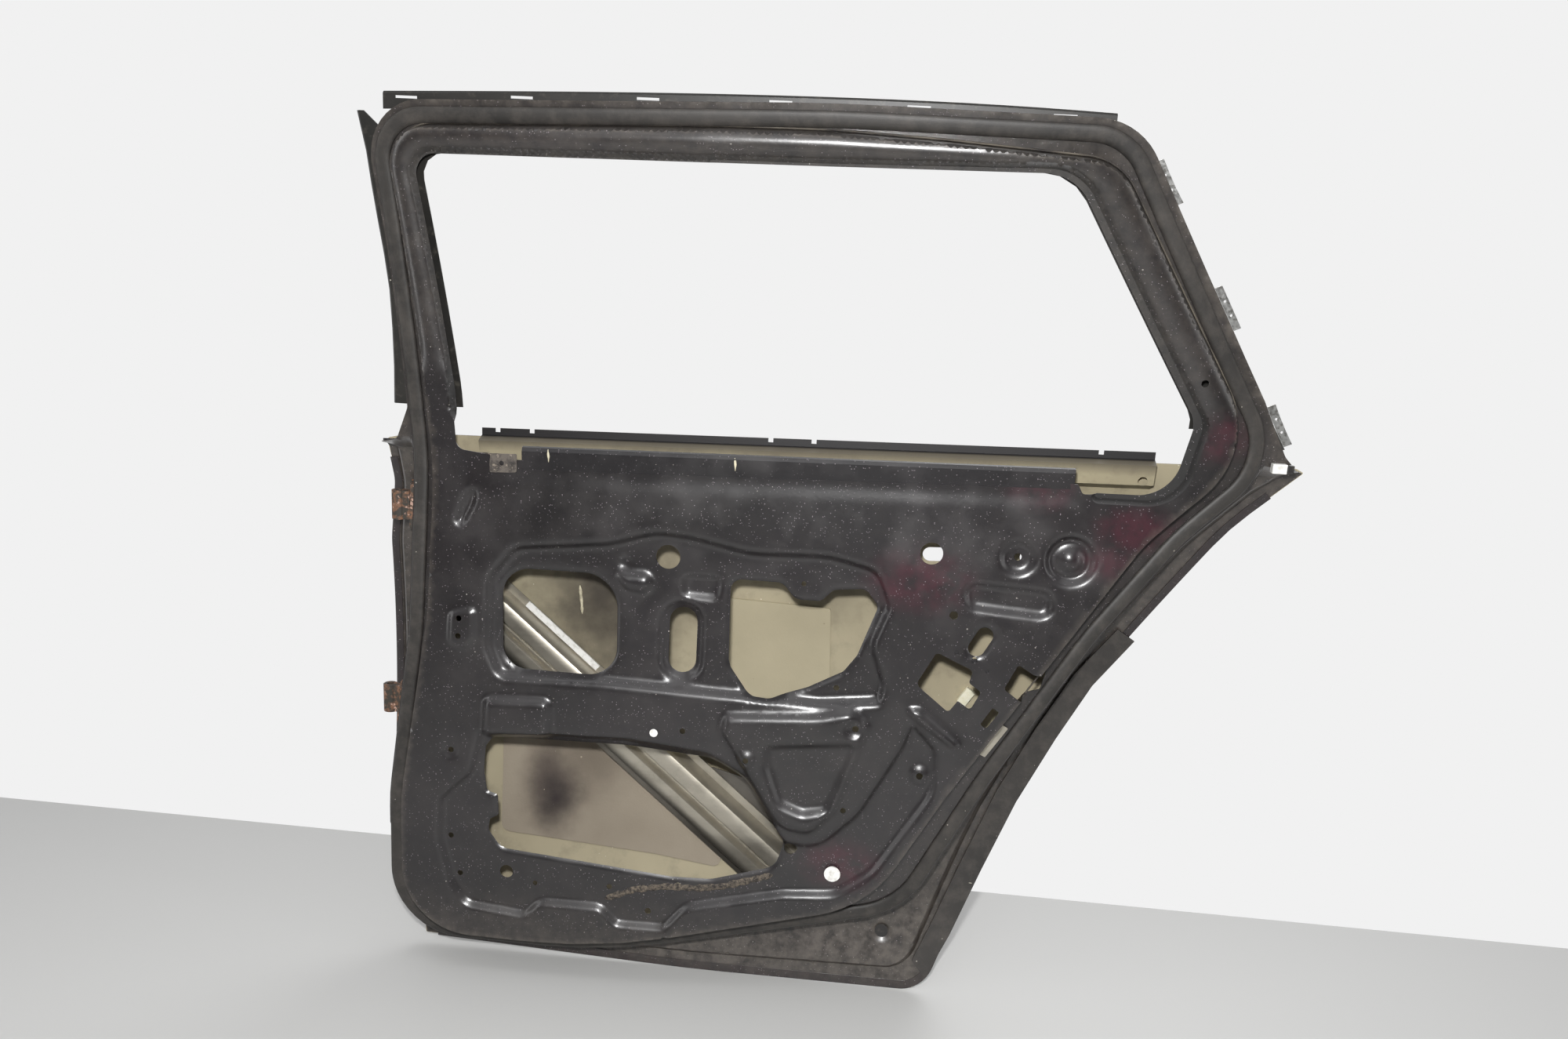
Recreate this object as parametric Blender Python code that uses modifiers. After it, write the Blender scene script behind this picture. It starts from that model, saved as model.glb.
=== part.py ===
"""Right rear door shell of an estate car: stamped inner panel with window frame,
hemmed outer skin, belt rails, side impact beam, frame rails, seals, hinges and plugs.

Outlines are drawn in side view in millimetres as corners (x, z, radius), x to the
rear and z up; `spot` turns a drawn point and a depth into metres. +Y is outboard.
"""
import bpy
import bmesh
import math
import numpy as np
from mathutils import Vector, Matrix, geometry

# Dimensions (m)
DOOR_LENGTH = 1.110       # front hem to rear tip
SHEET = 0.0009            # thickness of the pressed steel
FACE_TO_LAND = 0.036      # trim face to seal land
HEM_STEP = 0.0015         # skin to flange, and flange to hem lap
HEM_LAP = 0.009           # width of the folded hem
SEAL_HEIGHT = 0.0042      # rubber seal on its land
BEAM_WIDTH = 0.084        # side impact beam over its flanges
BEAM_DEPTH = 0.022        # height of the beam's crowns
RAIL_LIP = 0.010          # outboard lip of the frame rails
GAP = 0.0005              # clearance between touching pieces
RAIL_SLOT = (0.024, 0.0028)   # length and height of the top rail's slots
HANDLE_DEPTH = 0.014      # finger recess of the outer handle, drawn into the skin

K = DOOR_LENGTH / 1110.0  # drawing millimetres to metres
BELT = 660.0              # height of the belt line in the drawing
MID_X, MID_Y, LOW_Z = 546.0, 0.0415, -14.0
HEM_CLEAR = 1.6           # panel's edge to the skin's fold (drawn mm)
PLUG_CLEAR = 0.7          # plug's stem to its hole (drawn mm)
PLUG_RIM = 2.0            # plug's cap past its hole (drawn mm)

# Outlines
FACE_EDGE = [(65, 1022, 42), (540, 1037, 2500), (832, 1019, 60), (1022, 730, 95),
             (914, 616, 150), (716, 290, 600), (634, 141, 150), (300, 48, 700), (48, 50, 120),
             (47, 230, 300), (82, 470, 400), (90, 640, 500)]
LAND_EDGE = [(34, 1047, 62), (540, 1063, 2500), (846, 1060, 75), (1061, 714, 85),
             (965, 612, 200), (880, 490, 400), (770, 297, 600), (680, 118, 110),
             (300, 22, 700), (18, 22, 150),
             (17, 215, 300), (44, 440, 400), (52, 640, 500)]
HEM_EDGE = [(-3, 664, 4), (3, 610, 60), (-8, 530, 120), (-9, 190, 250), (24, 40, 30),
            (28, 34, 2), (42, 34, 2), (47, -3, 3), (400, -13, 3000), (714, -11, 45),
            (800, 215, 900), (890, 405, 400), (1030, 622, 300), (1102, 697, 2)]
FRAME_EDGE = [(1080, 706, 6), (1064, 722, 20), (1028, 788, 300), (851, 1067, 80),
              (540, 1070, 2500), (27, 1054, 68), (38, 900, 400), (45, 712, 10),
              (30, 674, 8)]
HEM_LINE = [(-60, 1150, 0), (-60, 674, 0), (9, 655, 3), (13, 610, 60), (3, 530, 120),
            (2, 200, 250), (34, 60, 30), (62, 12, 20), (400, 6, 3000), (692, 13, 45),
            (770, 230, 900), (862, 415, 400), (985, 596, 300), (1048, 668, 60),
            (1078, 692, 6), (1150, 712, 0), (1150, 1150, 0)]
WINDOW = [(90, 999, 24), (540, 1005, 2500), (789, 1009, 55), (953, 757, 30),
          (938, 671, 45), (840, 669, 5), (834, 680, 3), (190, 663, 5),
          (118, 672, 12), (116, 740, 200)]
RUN_CHANNEL = [(84, 1006, 28), (540, 1013, 2500), (797, 1019, 62), (968, 757, 35),
               (951, 660, 50), (850, 659, 10), (846, 700, 10), (125, 700, 10),
               (111, 712, 10), (110, 760, 100)]

HOLE_FRONT = [(170, 530, 34), (311, 531, 42), (313, 404, 36), (172, 404, 30)]
HOLE_REAR = [(446, 537, 14), (508, 537, 16), (524, 518, 14), (554, 518, 10),
             (568, 533, 12), (606, 537, 14), (622, 517, 10), (601, 455, 8),
             (586, 434, 10), (545, 411, 30), (500, 394, 30), (474, 396, 20),
             (448, 432, 30)]
HOLE_LOWER = [(151, 301, 8), (161, 315, 8), (330, 319, 300), (436, 312, 80),
              (480, 288, 40), (529, 214, 25), (518, 177, 22), (440, 152, 40),
              (390, 150, 60), (172, 167, 20), (155, 190, 12), (157, 205, 5),
              (168, 211, 5), (167, 238, 4), (153, 242, 6), (149, 270, 20)]
HOLE_LATCH = [(693, 471, 5), (672, 430, 8), (712, 399, 4), (722, 414, 2),
              (737, 404, 4), (748, 427, 4), (733, 437, 4), (737, 452, 6)]
HOLE_STRIKER = [(788, 464, 3), (806, 453, 3), (826, 450, 2), (820, 424, 4),
                (797, 417, 5), (774, 433, 3)]
HOLE_ROD = [(763, 409, 2), (771, 404, 2), (758, 383, 3), (750, 387, 3)]

# round holes in the inner panel: x, z, radius
ROUND_HOLES = [(371, 558, 14.5), (678, 588, 13), (180, 137, 8.5), (536, 205, 8),
               (589, 178, 8), (363, 342, 3), (776, 590, 4.5), (709, 517, 5),
               (716, 473, 3), (737, 465, 3.5), (753, 453, 2.5), (533, 538, 3),
               (579, 414, 3.5), (398, 347, 3.5), (477, 321, 3.5), (605, 370, 4),
               (685, 314, 4), (597, 264, 3.5), (110, 296, 3.5), (108, 179, 3.5),
               (120, 129, 3.5), (217, 125, 3), (312, 130, 3.5), (399, 141, 3.5),
               (362, 102, 4), (122, 467, 3.5), (121, 445, 3.5), (953, 802, 4)]

# pressed forms of the inner panel: outline, depth (m, + outboard), wall run (mm)
PRESSINGS = [
    ([(152, 520, 30), (185, 562, 30), (300, 575, 100), (355, 593, 80), (400, 590, 80),
      (470, 576, 120), (560, 580, 120), (622, 566, 30), (641, 520, 20), (623, 470, 25),
      (640, 425, 20), (636, 398, 12), (560, 389, 30), (440, 391, 40), (300, 394, 40),
      (166, 391, 20), (150, 430, 20)], 0.0055, 6),
    ([(92, 230, 20), (90, 180, 40), (106, 118, 20), (126, 86, 25), (208, 78, 14),
      (226, 98, 14), (300, 99, 14), (322, 78, 14), (386, 79, 14), (412, 111, 20),
      (530, 141, 60), (596, 147, 40), (640, 180, 60), (706, 292, 60), (706, 350, 25),
      (669, 388, 8), (658, 350, 40), (612, 262, 60), (566, 214, 40), (520, 220, 30),
      (478, 298, 30), (432, 324, 60), (330, 333, 60), (144, 328, 14), (132, 270, 30),
      (110, 250, 20)], 0.0055, 6),
    ([(440, 358, 14), (444, 386, 10), (560, 396, 60), (600, 410, 16), (626, 384, 14),
      (610, 330, 60), (590, 262, 24), (560, 226, 25), (520, 232, 30), (480, 292, 40),
      (452, 335, 30)], -0.0065, 6),
    ([(495, 343, 12), (617, 357, 12), (588, 248, 18), (546, 238, 20), (510, 252, 24),
      (494, 310, 30)], 0.0085, 6),
    ([(112, 722, 5), (112, 600, 10), (150, 639, 20), (350, 640, 300), (504, 646, 300),
      (842, 658, 8), (846, 722, 5)], 0.0070, 6),
    ([(145, 630, 8), (126, 624, 14), (112, 584, 9), (125, 573, 9), (142, 606, 20)],
     0.0070, 5),
    ([(298, 539, 8), (358, 541, 10), (354, 508, 12), (318, 512, 14)], -0.0045, 5),
    ([(387, 540, 8), (438, 541, 8), (436, 508, 8), (389, 509, 8)], 0.0030, 4),
    ([(716, 560, 12), (822, 555, 13), (823, 518, 13), (720, 524, 13)], 0.0045, 5),
    ([(664, 402, 5), (680, 402, 5), (732, 360, 5), (724, 351, 5), (664, 392, 5)],
     -0.0050, 4),
    ([(148, 312, 8), (150, 372, 12), (238, 376, 12), (239, 322, 12)], -0.0050, 6),
    ([(108, 474, 9), (143, 484, 9), (142, 440, 12), (128, 424, 9), (106, 434, 9)],
     -0.0030, 4)]
# round pressings: x, z, radius, depth, run
ROUND_PRESSINGS = [(776, 590, 23, 0.0050, 5), (835, 591, 31, 0.0060, 6),
                   (835, 591, 19, -0.0070, 6), (477, 321, 12, -0.0025, 4),
                   (605, 370, 13, 0.0030, 4), (685, 314, 13, -0.0025, 4),
                   (110, 296, 12, 0.0025, 4), (320, 548, 9, 0.0020, 3),
                   (656, 63, 13, 0.0035, 4)]


# outer handle on the skin: the finger recess and its two openings (obrounds)
HANDLE_RECESS = (742, 566, 180, 66, 3)
HANDLE_OPENINGS = [(686, 565, 30, 18, 3), (800, 570, 24, 20, 3)]
HANDLE_RUN = 15           # width of the recess's wall (drawn mm)


# Drawing tools
def outline(corners, longest=52.0, step=28.0):
    """Closed loop of points with each corner rounded by its own radius."""
    n, pts = len(corners), []
    for i in range(n):
        a, b, c = (Vector(corners[(i + j) % n][:2]) for j in (-1, 0, 1))
        u, v = (a - b), (c - b)
        lu, lv = u.length, v.length
        u, v = u / lu, v / lv
        turn = math.pi - u.angle(v)
        r = corners[i][2]
        t = min(r * math.tan(turn / 2), 0.48 * lu, 0.48 * lv)
        if r <= 0 or turn < 0.01:
            pts.append(b)
            continue
        r = t / math.tan(turn / 2)
        p, q = b + u * t, b + v * t
        k = max(2, math.ceil(math.degrees(turn) / step) + 1)
        mid = (u + v).normalized()
        o = b + mid * math.hypot(r, t)
        for j in range(k):
            w = j / (k - 1)
            d = ((p - o) * (1 - w) + (q - o) * w)
            pts.append(o + d.normalized() * r)
    out = []
    for i, p in enumerate(pts):
        q = pts[(i + 1) % len(pts)]
        m = max(1, math.ceil((q - p).length / longest))
        out += [p.lerp(q, j / m) for j in range(m)]
    return [(p.x, p.y) for p in out]


def circle(x, z, r, n=None):
    n = n or (8 if r < 6 else 14)
    return [(x + r * math.cos(2 * math.pi * i / n), z + r * math.sin(2 * math.pi * i / n))
            for i in range(n)]


def obround(x, z, length, width, angle, n=5):
    r, h, a = width / 2, (length - width) / 2, math.radians(angle)
    pts = []
    for s in (1, -1):
        for i in range(n + 1):
            t = a + (math.pi / 2) * (1 if s < 0 else -1) + math.pi * i / n
            pts.append((x + s * h * math.cos(a) + r * math.cos(t),
                        z + s * h * math.sin(a) + r * math.sin(t)))
    return pts


def shifted(loop, d):
    """The loop moved outward by d (inward when d is negative)."""
    p = np.array(loop)
    e = np.roll(p, -1, 0) - p
    e /= np.linalg.norm(e, axis=1)[:, None] + 1e-12
    area = np.sum(p[:, 0] * np.roll(p[:, 1], -1) - np.roll(p[:, 0], -1) * p[:, 1])
    nrm = np.c_[e[:, 1], -e[:, 0]] * (1 if area > 0 else -1)
    m = nrm + np.roll(nrm, 1, 0)
    m /= np.maximum(np.sum(m * m, 1), 1.0)[:, None] / 2.0
    return [tuple(v) for v in p + m * d]


def inside(pts, loop):
    """Signed distance in mm, positive inside the loop."""
    p, a = np.atleast_2d(np.array(pts, float)), np.array(loop, float)
    b = np.roll(a, -1, 0)
    e, w = b - a, p[:, None, :] - a[None]
    t = np.clip(np.sum(w * e, 2) / np.maximum(np.sum(e * e, 1), 1e-12), 0, 1)
    dist = np.sqrt(np.min(np.sum((w - t[..., None] * e) ** 2, 2), 1))
    up = (a[:, 1] <= p[:, 1:2]) & (b[:, 1] > p[:, 1:2])
    dn = (a[:, 1] > p[:, 1:2]) & (b[:, 1] <= p[:, 1:2])
    side = e[:, 0] * w[..., 1] - e[:, 1] * w[..., 0]
    wind = np.sum(up & (side > 0), 1) - np.sum(dn & (side < 0), 1)
    return np.where(wind != 0, dist, -dist)


def ramp(d, run):
    t = np.clip(d / run, 0, 1)
    return t * t * (3 - 2 * t)


def spot(x, y, z):
    return Vector(((x - MID_X) * K, y - MID_Y, (z - LOW_Z) * K))


# Surfaces
def above_belt(z):
    h = (np.asarray(z, float) - BELT) / 1000
    return 0.5 * (h + np.sqrt(h * h + 0.0016))


def face_y(z):
    """Trim face: near upright below the belt, leaning in above it."""
    z = np.asarray(z, float)
    h = above_belt(z)
    return 0.020 * np.minimum(z, BELT) / BELT - 0.10 * h - 0.25 * h * h


def skin_y(z):
    """Outer skin: barrel shaped, carried on at the belt's slope above it."""
    z = np.asarray(z, float) / 1000
    h = np.maximum(z - 0.66, 0)
    return 0.135 - 0.39 * (np.minimum(z, 0.66) - 0.38) ** 2 - 0.218 * h - 0.15 * h * h


FACE_LOOP = outline(FACE_EDGE)
LAND_LOOP = outline(LAND_EDGE)
HEM_LINE_LOOP = outline(HEM_LINE)
EDGE_LOOP = outline(HEM_EDGE + FRAME_EDGE)
WINDOW_LOOP = outline(WINDOW)
CHANNEL_LOOP = outline(RUN_CHANNEL)
PRESS_LOOPS = [(outline(o, 200), d, r) for o, d, r in PRESSINGS]
PRESS_LOOPS += [(circle(x, z, r, 16), d, w) for x, z, r, d, w in ROUND_PRESSINGS]


def panel_y(pts):
    """Depth of the inner panel at drawn points."""
    p = np.atleast_2d(np.array(pts, float))
    x, z = p[:, 0], p[:, 1]
    y = face_y(z)
    belt_here = BELT + 0.036 * x
    low = 1 - ramp(z - belt_here + 8, 22)
    y = y + FACE_TO_LAND * ramp(-inside(p, FACE_LOOP), 7)
    deep = low * (skin_y(z) - 0.014) + (1 - low) * (face_y(z) + FACE_TO_LAND)
    y = y + (deep - y) * ramp(-inside(p, LAND_LOOP), 7)
    flange = skin_y(z) - HEM_STEP
    y = y + (flange - y) * ramp(-inside(p, HEM_LINE_LOOP) + 9, 9)
    y = y + 0.011 * ramp(inside(p, CHANNEL_LOOP), 5)
    for loop, depth, run in PRESS_LOOPS:
        y = y + depth * ramp(inside(p, loop), run)
    return y


# Blender tools
scene = bpy.context.scene
for old in list(bpy.data.objects):
    bpy.data.objects.remove(old, do_unlink=True)
door = bpy.data.collections.new("door_shell")
cutters = bpy.data.collections.new("cutters")
scene.collection.children.link(door)
scene.collection.children.link(cutters)


def paint(name, rgb, rough, metal=0.0):
    m = bpy.data.materials.new(name)
    m.use_nodes = True
    b = m.node_tree.nodes["Principled BSDF"]
    b.inputs["Base Color"].default_value = (*rgb, 1)
    b.inputs["Roughness"].default_value = rough
    b.inputs["Metallic"].default_value = metal
    m.diffuse_color = (*rgb, 1)
    return m


BODY = paint("plum_black_paint", (0.018, 0.011, 0.015), 0.22, 0.3)
PRIMER = paint("beige_primer", (0.42, 0.38, 0.27), 0.6)
STEEL = paint("coated_steel", (0.36, 0.35, 0.32), 0.42, 0.6)
RUBBER = paint("seal_rubber", (0.055, 0.055, 0.052), 0.75)
RAIL = paint("black_rail_paint", (0.03, 0.03, 0.028), 0.4)
ALUMINIUM = paint("bare_aluminium", (0.62, 0.63, 0.63), 0.38, 1.0)
WHITE = paint("white_plastic", (0.78, 0.78, 0.74), 0.45)
BLACK = paint("black_plastic", (0.02, 0.02, 0.02), 0.5)
RUSTED = paint("worn_hinge_paint", (0.07, 0.06, 0.045), 0.6, 0.2)
DAMPING = paint("damping_sheet", (0.24, 0.21, 0.17), 0.85)


def add(name, mesh, mat, where=None):
    ob = bpy.data.objects.new(name, mesh)
    ob.data.materials.clear()
    ob.data.materials.append(mat)
    (where or door).objects.link(ob)
    return ob


def solid(ob, thickness, offset=0.0):
    m = ob.modifiers.new("thickness", "SOLIDIFY")
    m.thickness = thickness
    m.offset = offset
    return ob


def pressed(border, holes=(), creases=(), spine=()):
    """Flat triangulation of a bordered sheet, folded along its creases."""
    verts, edges = [], []
    for loop in [border, *holes, *creases]:
        n = len(verts)
        verts += [Vector(p) for p in loop]
        edges += [(n + i, n + (i + 1) % len(loop)) for i in range(len(loop))]
    for line in spine:
        n = len(verts)
        verts += [Vector(p) for p in line]
        edges += [(n + i, n + i + 1) for i in range(len(line) - 1)]
    v, _, f, *_ = geometry.delaunay_2d_cdt(verts, edges, [], 0, 0.02)
    mid = [tuple(sum((v[i] for i in t), Vector((0, 0))) / 3) for t in f]
    keep = inside(mid, border) > 0.01
    for h in holes:
        keep &= inside(mid, h) < -0.01
    return [tuple(p) for p in v], [t for t, k in zip(f, keep) if k]


def sheet(name, mat, border, depth, holes=(), creases=(), spine=(), thick=SHEET):
    """Pressed sheet: its middle surface follows depth(points), then gets thickness."""
    v, f = pressed(border, holes, creases, spine)
    y = depth(v)
    me = bpy.data.meshes.new(name)
    me.from_pydata([spot(p[0], d, p[1]) for p, d in zip(v, y)], [],
                   [t[::-1] for t in f])
    bm = bmesh.new()
    bm.from_mesh(me)
    loose = [p for p in bm.verts if not p.link_faces]
    bmesh.ops.delete(bm, geom=loose, context="VERTS")
    bm.to_mesh(me)
    bm.free()
    return solid(add(name, me, mat), thick)


def levels_between(low, high, pitch):
    """Level lines that let a sheet follow the barrel of the skin."""
    n = max(2, round((high - low) / pitch))
    return [[(-40, z), (1140, z)] for z in np.linspace(low, high, n + 1)]


def loft(name, mat, rows, thick=SHEET, offset=0.0):
    """Sheet through rows of points, each row a section."""
    me = bpy.data.meshes.new(name)
    n = len(rows[0])
    flat = [Vector(p) for row in rows for p in row]
    faces = [(i * n + j, i * n + j + 1, (i + 1) * n + j + 1, (i + 1) * n + j)
             for i in range(len(rows) - 1) for j in range(n - 1)]
    me.from_pydata(flat, [], faces)
    return solid(add(name, me, mat), thick, offset)


def block(name, size, place, mat=None, turn=None, where=None, bevel=0.0):
    bm = bmesh.new()
    bmesh.ops.create_cube(bm, size=1.0)
    bmesh.ops.scale(bm, vec=size, verts=bm.verts)
    if bevel:
        bmesh.ops.bevel(bm, geom=bm.edges[:], offset=bevel, segments=2, affect="EDGES",
                        profile=0.5)
    if turn:
        bmesh.ops.rotate(bm, verts=bm.verts, matrix=turn)
    me = bpy.data.meshes.new(name)
    bm.to_mesh(me)
    bm.free()
    ob = add(name, me, mat or BODY, where)
    ob.location = place
    return ob


def rod(name, radius, length, place, axis, mat=None, where=None, sides=16, r2=None):
    bm = bmesh.new()
    bmesh.ops.create_cone(bm, cap_ends=True, segments=sides, radius1=radius,
                          radius2=radius if r2 is None else r2, depth=length)
    me = bpy.data.meshes.new(name)
    bm.to_mesh(me)
    bm.free()
    ob = add(name, me, mat or BODY, where)
    ob.rotation_mode = "QUATERNION"
    ob.rotation_quaternion = Vector(axis).to_track_quat("Z", "Y")
    ob.location = place
    return ob


def combine(ob, other, how):
    m = ob.modifiers.new(how.lower(), "BOOLEAN")
    m.operation = how
    m.object = other
    other.hide_render = True
    other.display_type = "WIRE"
    return ob


# Inner panel
def crease_pair(loop, run):
    return [loop, shifted(loop, -run)]


openings = [outline(o, 200) for o in (HOLE_FRONT, HOLE_REAR, HOLE_LOWER, HOLE_LATCH,
                                      HOLE_STRIKER, HOLE_ROD)]
openings += [obround(391, 455, 82, 34, 90, 7), obround(742.5, 487, 38, 20, 62)]
PRESS_LOOPS.append((obround(391, 455, 106, 58, 90, 8), 0.0045, 6))
openings += [circle(*h) for h in ROUND_HOLES]
creases = [FACE_LOOP, shifted(FACE_LOOP, 7), LAND_LOOP, shifted(LAND_LOOP, 7),
           HEM_LINE_LOOP, shifted(HEM_LINE_LOOP, -9)]
creases += crease_pair(CHANNEL_LOOP, 5)
for loop, depth, run in PRESS_LOOPS:
    creases += crease_pair(loop, run)
panel_border = shifted(EDGE_LOOP, -HEM_CLEAR)
belt_folds = [[(x, BELT + 0.036 * x + dz) for x in ends]
              for ends in ((-20, 60), (1010, 1120)) for dz in (-8, 3, 14)]
sheet("inner_panel", BODY, panel_border, panel_y, [WINDOW_LOOP] + openings, creases,
      belt_folds)

# Outer skin
skin_border = outline(HEM_EDGE + [(1092, 702, 6), (30, 672, 8)])
recess_loop = obround(*HANDLE_RECESS, 8)
recess_folds = [shifted(recess_loop, -HANDLE_RUN * t) for t in (0, 0.3, 0.7, 1)]
skin_v, skin_f = pressed(skin_border, [obround(*o, 6) for o in HANDLE_OPENINGS],
                         recess_folds, levels_between(0, 700, 50))
skin_depth = [float(skin_y(z)) for _, z in skin_v]
skin_depth -= HANDLE_DEPTH * ramp(inside(skin_v, recess_loop), HANDLE_RUN)
skin_me = bpy.data.meshes.new("outer_skin")
skin_me.from_pydata([spot(p[0], y, p[1]) for p, y in zip(skin_v, skin_depth)], [],
                    [t[::-1] for t in skin_f])
bm = bmesh.new()
bm.from_mesh(skin_me)
bmesh.ops.delete(bm, geom=[v for v in bm.verts if not v.link_faces], context="VERTS")


def drawn(co):
    return co.x / K + MID_X, co.z / K + LOW_Z


def is_hem(edge):
    """Hem on the front, sill and wheel arch, with a relief at each tight corner."""
    for v in edge.verts:
        x, z = drawn(v.co)
        at_belt = z > 640 + 0.036 * x
        at_notch = x < 58 and z < 52
        at_handle = inside([(x, z)], recess_loop)[0] > 0
        if at_belt or at_notch or at_handle or x > 1072:
            return False
    return edge.is_boundary


hem = [e for e in bm.edges if is_hem(e)]
inward = {}
for e in hem:
    far = [v for f in e.link_faces for v in f.verts if v not in e.verts][0]
    a, b = e.verts[0].co, e.verts[1].co
    n = Vector((-(b - a).z, 0, (b - a).x)).normalized()
    if n.dot(far.co - a) < 0:
        n = -n
    for v in e.verts:
        inward[v] = inward.get(v, Vector()) + n
lap = bmesh.ops.extrude_edge_only(bm, edges=hem)["geom"]
lap_v = [g for g in lap if isinstance(g, bmesh.types.BMVert)]
bend = {}
for v in lap_v:
    src = min(inward, key=lambda q: (q.co - v.co).length_squared)
    bend[v] = inward[src].normalized()
for v in lap_v:
    v.co.y -= 2 * HEM_STEP
lap_e = [g for g in lap if isinstance(g, bmesh.types.BMEdge)]
lap2 = bmesh.ops.extrude_edge_only(bm, edges=lap_e)["geom"]
for v in [g for g in lap2 if isinstance(g, bmesh.types.BMVert)]:
    src = min(bend, key=lambda q: (q.co - v.co).length_squared)
    v.co += bend[src] * HEM_LAP
    v.co.y = skin_y(drawn(v.co)[1]) - MID_Y - 2 * HEM_STEP
bm.to_mesh(skin_me)
bm.free()
solid(add("outer_skin", skin_me, PRIMER), SHEET)

# Window frame
def on_land(pts):
    return face_y(np.array(pts)[:, 1]) + FACE_TO_LAND + SHEET + GAP


outer_band = shifted(LAND_LOOP, -9)
frame_hole = shifted(WINDOW_LOOP, 2)


def clip_above(loop, low):
    """The part of a loop above a sloping line, closed along that line."""
    out = []
    n = len(loop)
    for i in range(n):
        p, q = loop[i], loop[(i + 1) % n]
        hp, hq = (r[1] - low - 0.036 * r[0] for r in (p, q))
        if hp >= 0:
            out.append(p)
        if (hp >= 0) != (hq >= 0):
            t = hp / (hp - hq)
            out.append((p[0] + t * (q[0] - p[0]), p[1] + t * (q[1] - p[1])))
    return out


sheet("frame_outer_panel", RAIL, clip_above(outer_band, 712), on_land,
      [frame_hole], [shifted(FACE_LOOP, 3)])


def crossing(z, rear):
    """Where the seal land's edge passes height z, on the front or the rear side."""
    hits = []
    for a, b in zip(LAND_LOOP, LAND_LOOP[1:] + LAND_LOOP[:1]):
        if (a[1] <= z) != (b[1] <= z):
            hits.append(a[0] + (b[0] - a[0]) * (z - a[1]) / (b[1] - a[1]))
    return max(hits) if rear else min(hits)


TOP_X = [54 + i * (827 - 54) / 20 for i in range(21)]


def band_top(x):
    """Height of the seal land's outer edge along the roof."""
    return 1048.5 + 13.0 * math.sin(min(max((x - 54) / 560, 0), 1) * math.pi / 2) \
        - 4.0 * max(0, (x - 614) / 213) ** 2


def rail_section(x, z0, top, y0):
    return [spot(x, y0, z0), spot(x, y0, z0 + 8), spot(x, y0, top - 2),
            spot(x, y0 + 0.002, top), spot(x, y0 + RAIL_LIP, top + 1)]


rows = []
for x in TOP_X:
    z0 = band_top(x) - 5
    y0 = float(face_y(z0)) + FACE_TO_LAND + SHEET + GAP
    rows.append(rail_section(x, z0, band_top(x) + 13, y0))
top_rail = loft("frame_top_rail", RAIL, rows, 0.0012, 0.0)
for i, x in enumerate((80, 207, 343, 483, 626, 775)):
    y = float(face_y(band_top(x))) + FACE_TO_LAND
    slot = block(f"rail_slot_{i}", (RAIL_SLOT[0], 3 * RAIL_LIP, RAIL_SLOT[1]),
                 spot(x, y, band_top(x) + 7), where=cutters)
    combine(top_rail, slot, "DIFFERENCE")


def side_rail(name, pairs, lip):
    """Rail along a pillar: pairs of (inner x, outer x, z) with an outboard lip."""
    rows = []
    for xi, xo, z in pairs:
        y0 = float(face_y(z)) + FACE_TO_LAND + SHEET + GAP
        s = 1 if xo > xi else -1
        rows.append([spot(xi, y0, z), spot(xo - s * 2, y0, z), spot(xo, y0 + 0.002, z),
                     spot(xo + s * 0.5, y0 + lip, z)])
    return loft(name, RAIL, rows, 0.0012)


FRONT_RAIL = [(30, 716), (33, 760), (35, 805), (36, 850), (34, 890), (31, 930), (29, 965),
              (28, 1000), (26, 1020)]
REAR_RAIL = [(1061, 729), (1045, 754), (1030, 782), (1009, 815), (984, 855), (958, 896),
             (931, 937), (905, 974), (884, 1003), (869, 1028)]
side_rail("frame_front_rail",
          [(crossing(z, False) + 5, x, z) for x, z in FRONT_RAIL] + [(32, 24, 1041)], 0.024)
side_rail("frame_rear_rail", [(crossing(z, True) - 5, x, z) for x, z in REAR_RAIL], 0.020)

# Belt
def belt_line(x):
    return 685 + 0.031 * (x - 96)


rows = []
for i in range(13):
    x = 122 + i * (930 - 122) / 12
    zt = belt_line(x)
    ys = [skin_y(zt) - 0.0035, skin_y(zt) - 0.0035, skin_y(zt - 14) - 0.020,
          skin_y(zt - 38) - 0.020, skin_y(zt - 46) - 0.0018, skin_y(zt - 58) - 0.0018]
    zs = [zt, zt - 9, zt - 14, zt - 38, zt - 46, zt - 58]
    rows.append([spot(x, float(y), z) for y, z in zip(ys, zs)])
outer_belt = loft("outer_belt_reinforcement", PRIMER, rows, SHEET)
peep = rod("belt_hole", 0.0055, 0.06, spot(917, 0.09, 677), (0, 1, 0), where=cutters)
combine(outer_belt, peep, "DIFFERENCE")
for i, x in enumerate((142, 185, 479, 531, 868)):
    notch = block(f"belt_notch_{i}", (0.006, 0.02, 0.010),
                  spot(x, float(skin_y(belt_line(x))) - 0.0035, belt_line(x)), where=cutters)
    combine(outer_belt, notch, "DIFFERENCE")

rows = []
for i in range(11):
    x = 196 + i * (830 - 196) / 10
    z0, z1 = 648 + 0.035 * (x - 196), 679 + 0.028 * (x - 196)
    y0 = float(panel_y([(x, z0 + 2)])[0]) - SHEET - GAP - 0.0045
    prof = [(y0 + 0.0045, z0 + 2), (y0, z0 + 4), (y0 - 0.001, z1 - 5), (y0 + 0.001, z1 - 1),
            (y0 + 0.004, z1), (y0 + 0.0095, z1 - 1)]
    rows.append([spot(x, y, z) for y, z in prof])
loft("inner_belt_reinforcement", BODY, rows, SHEET)


def bracket_y(pts):
    p = np.array(pts)
    return panel_y([(155, 655)])[0] - 0.0024 - 0.004 * ramp(p[:, 0] - 150, 10)


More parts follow.
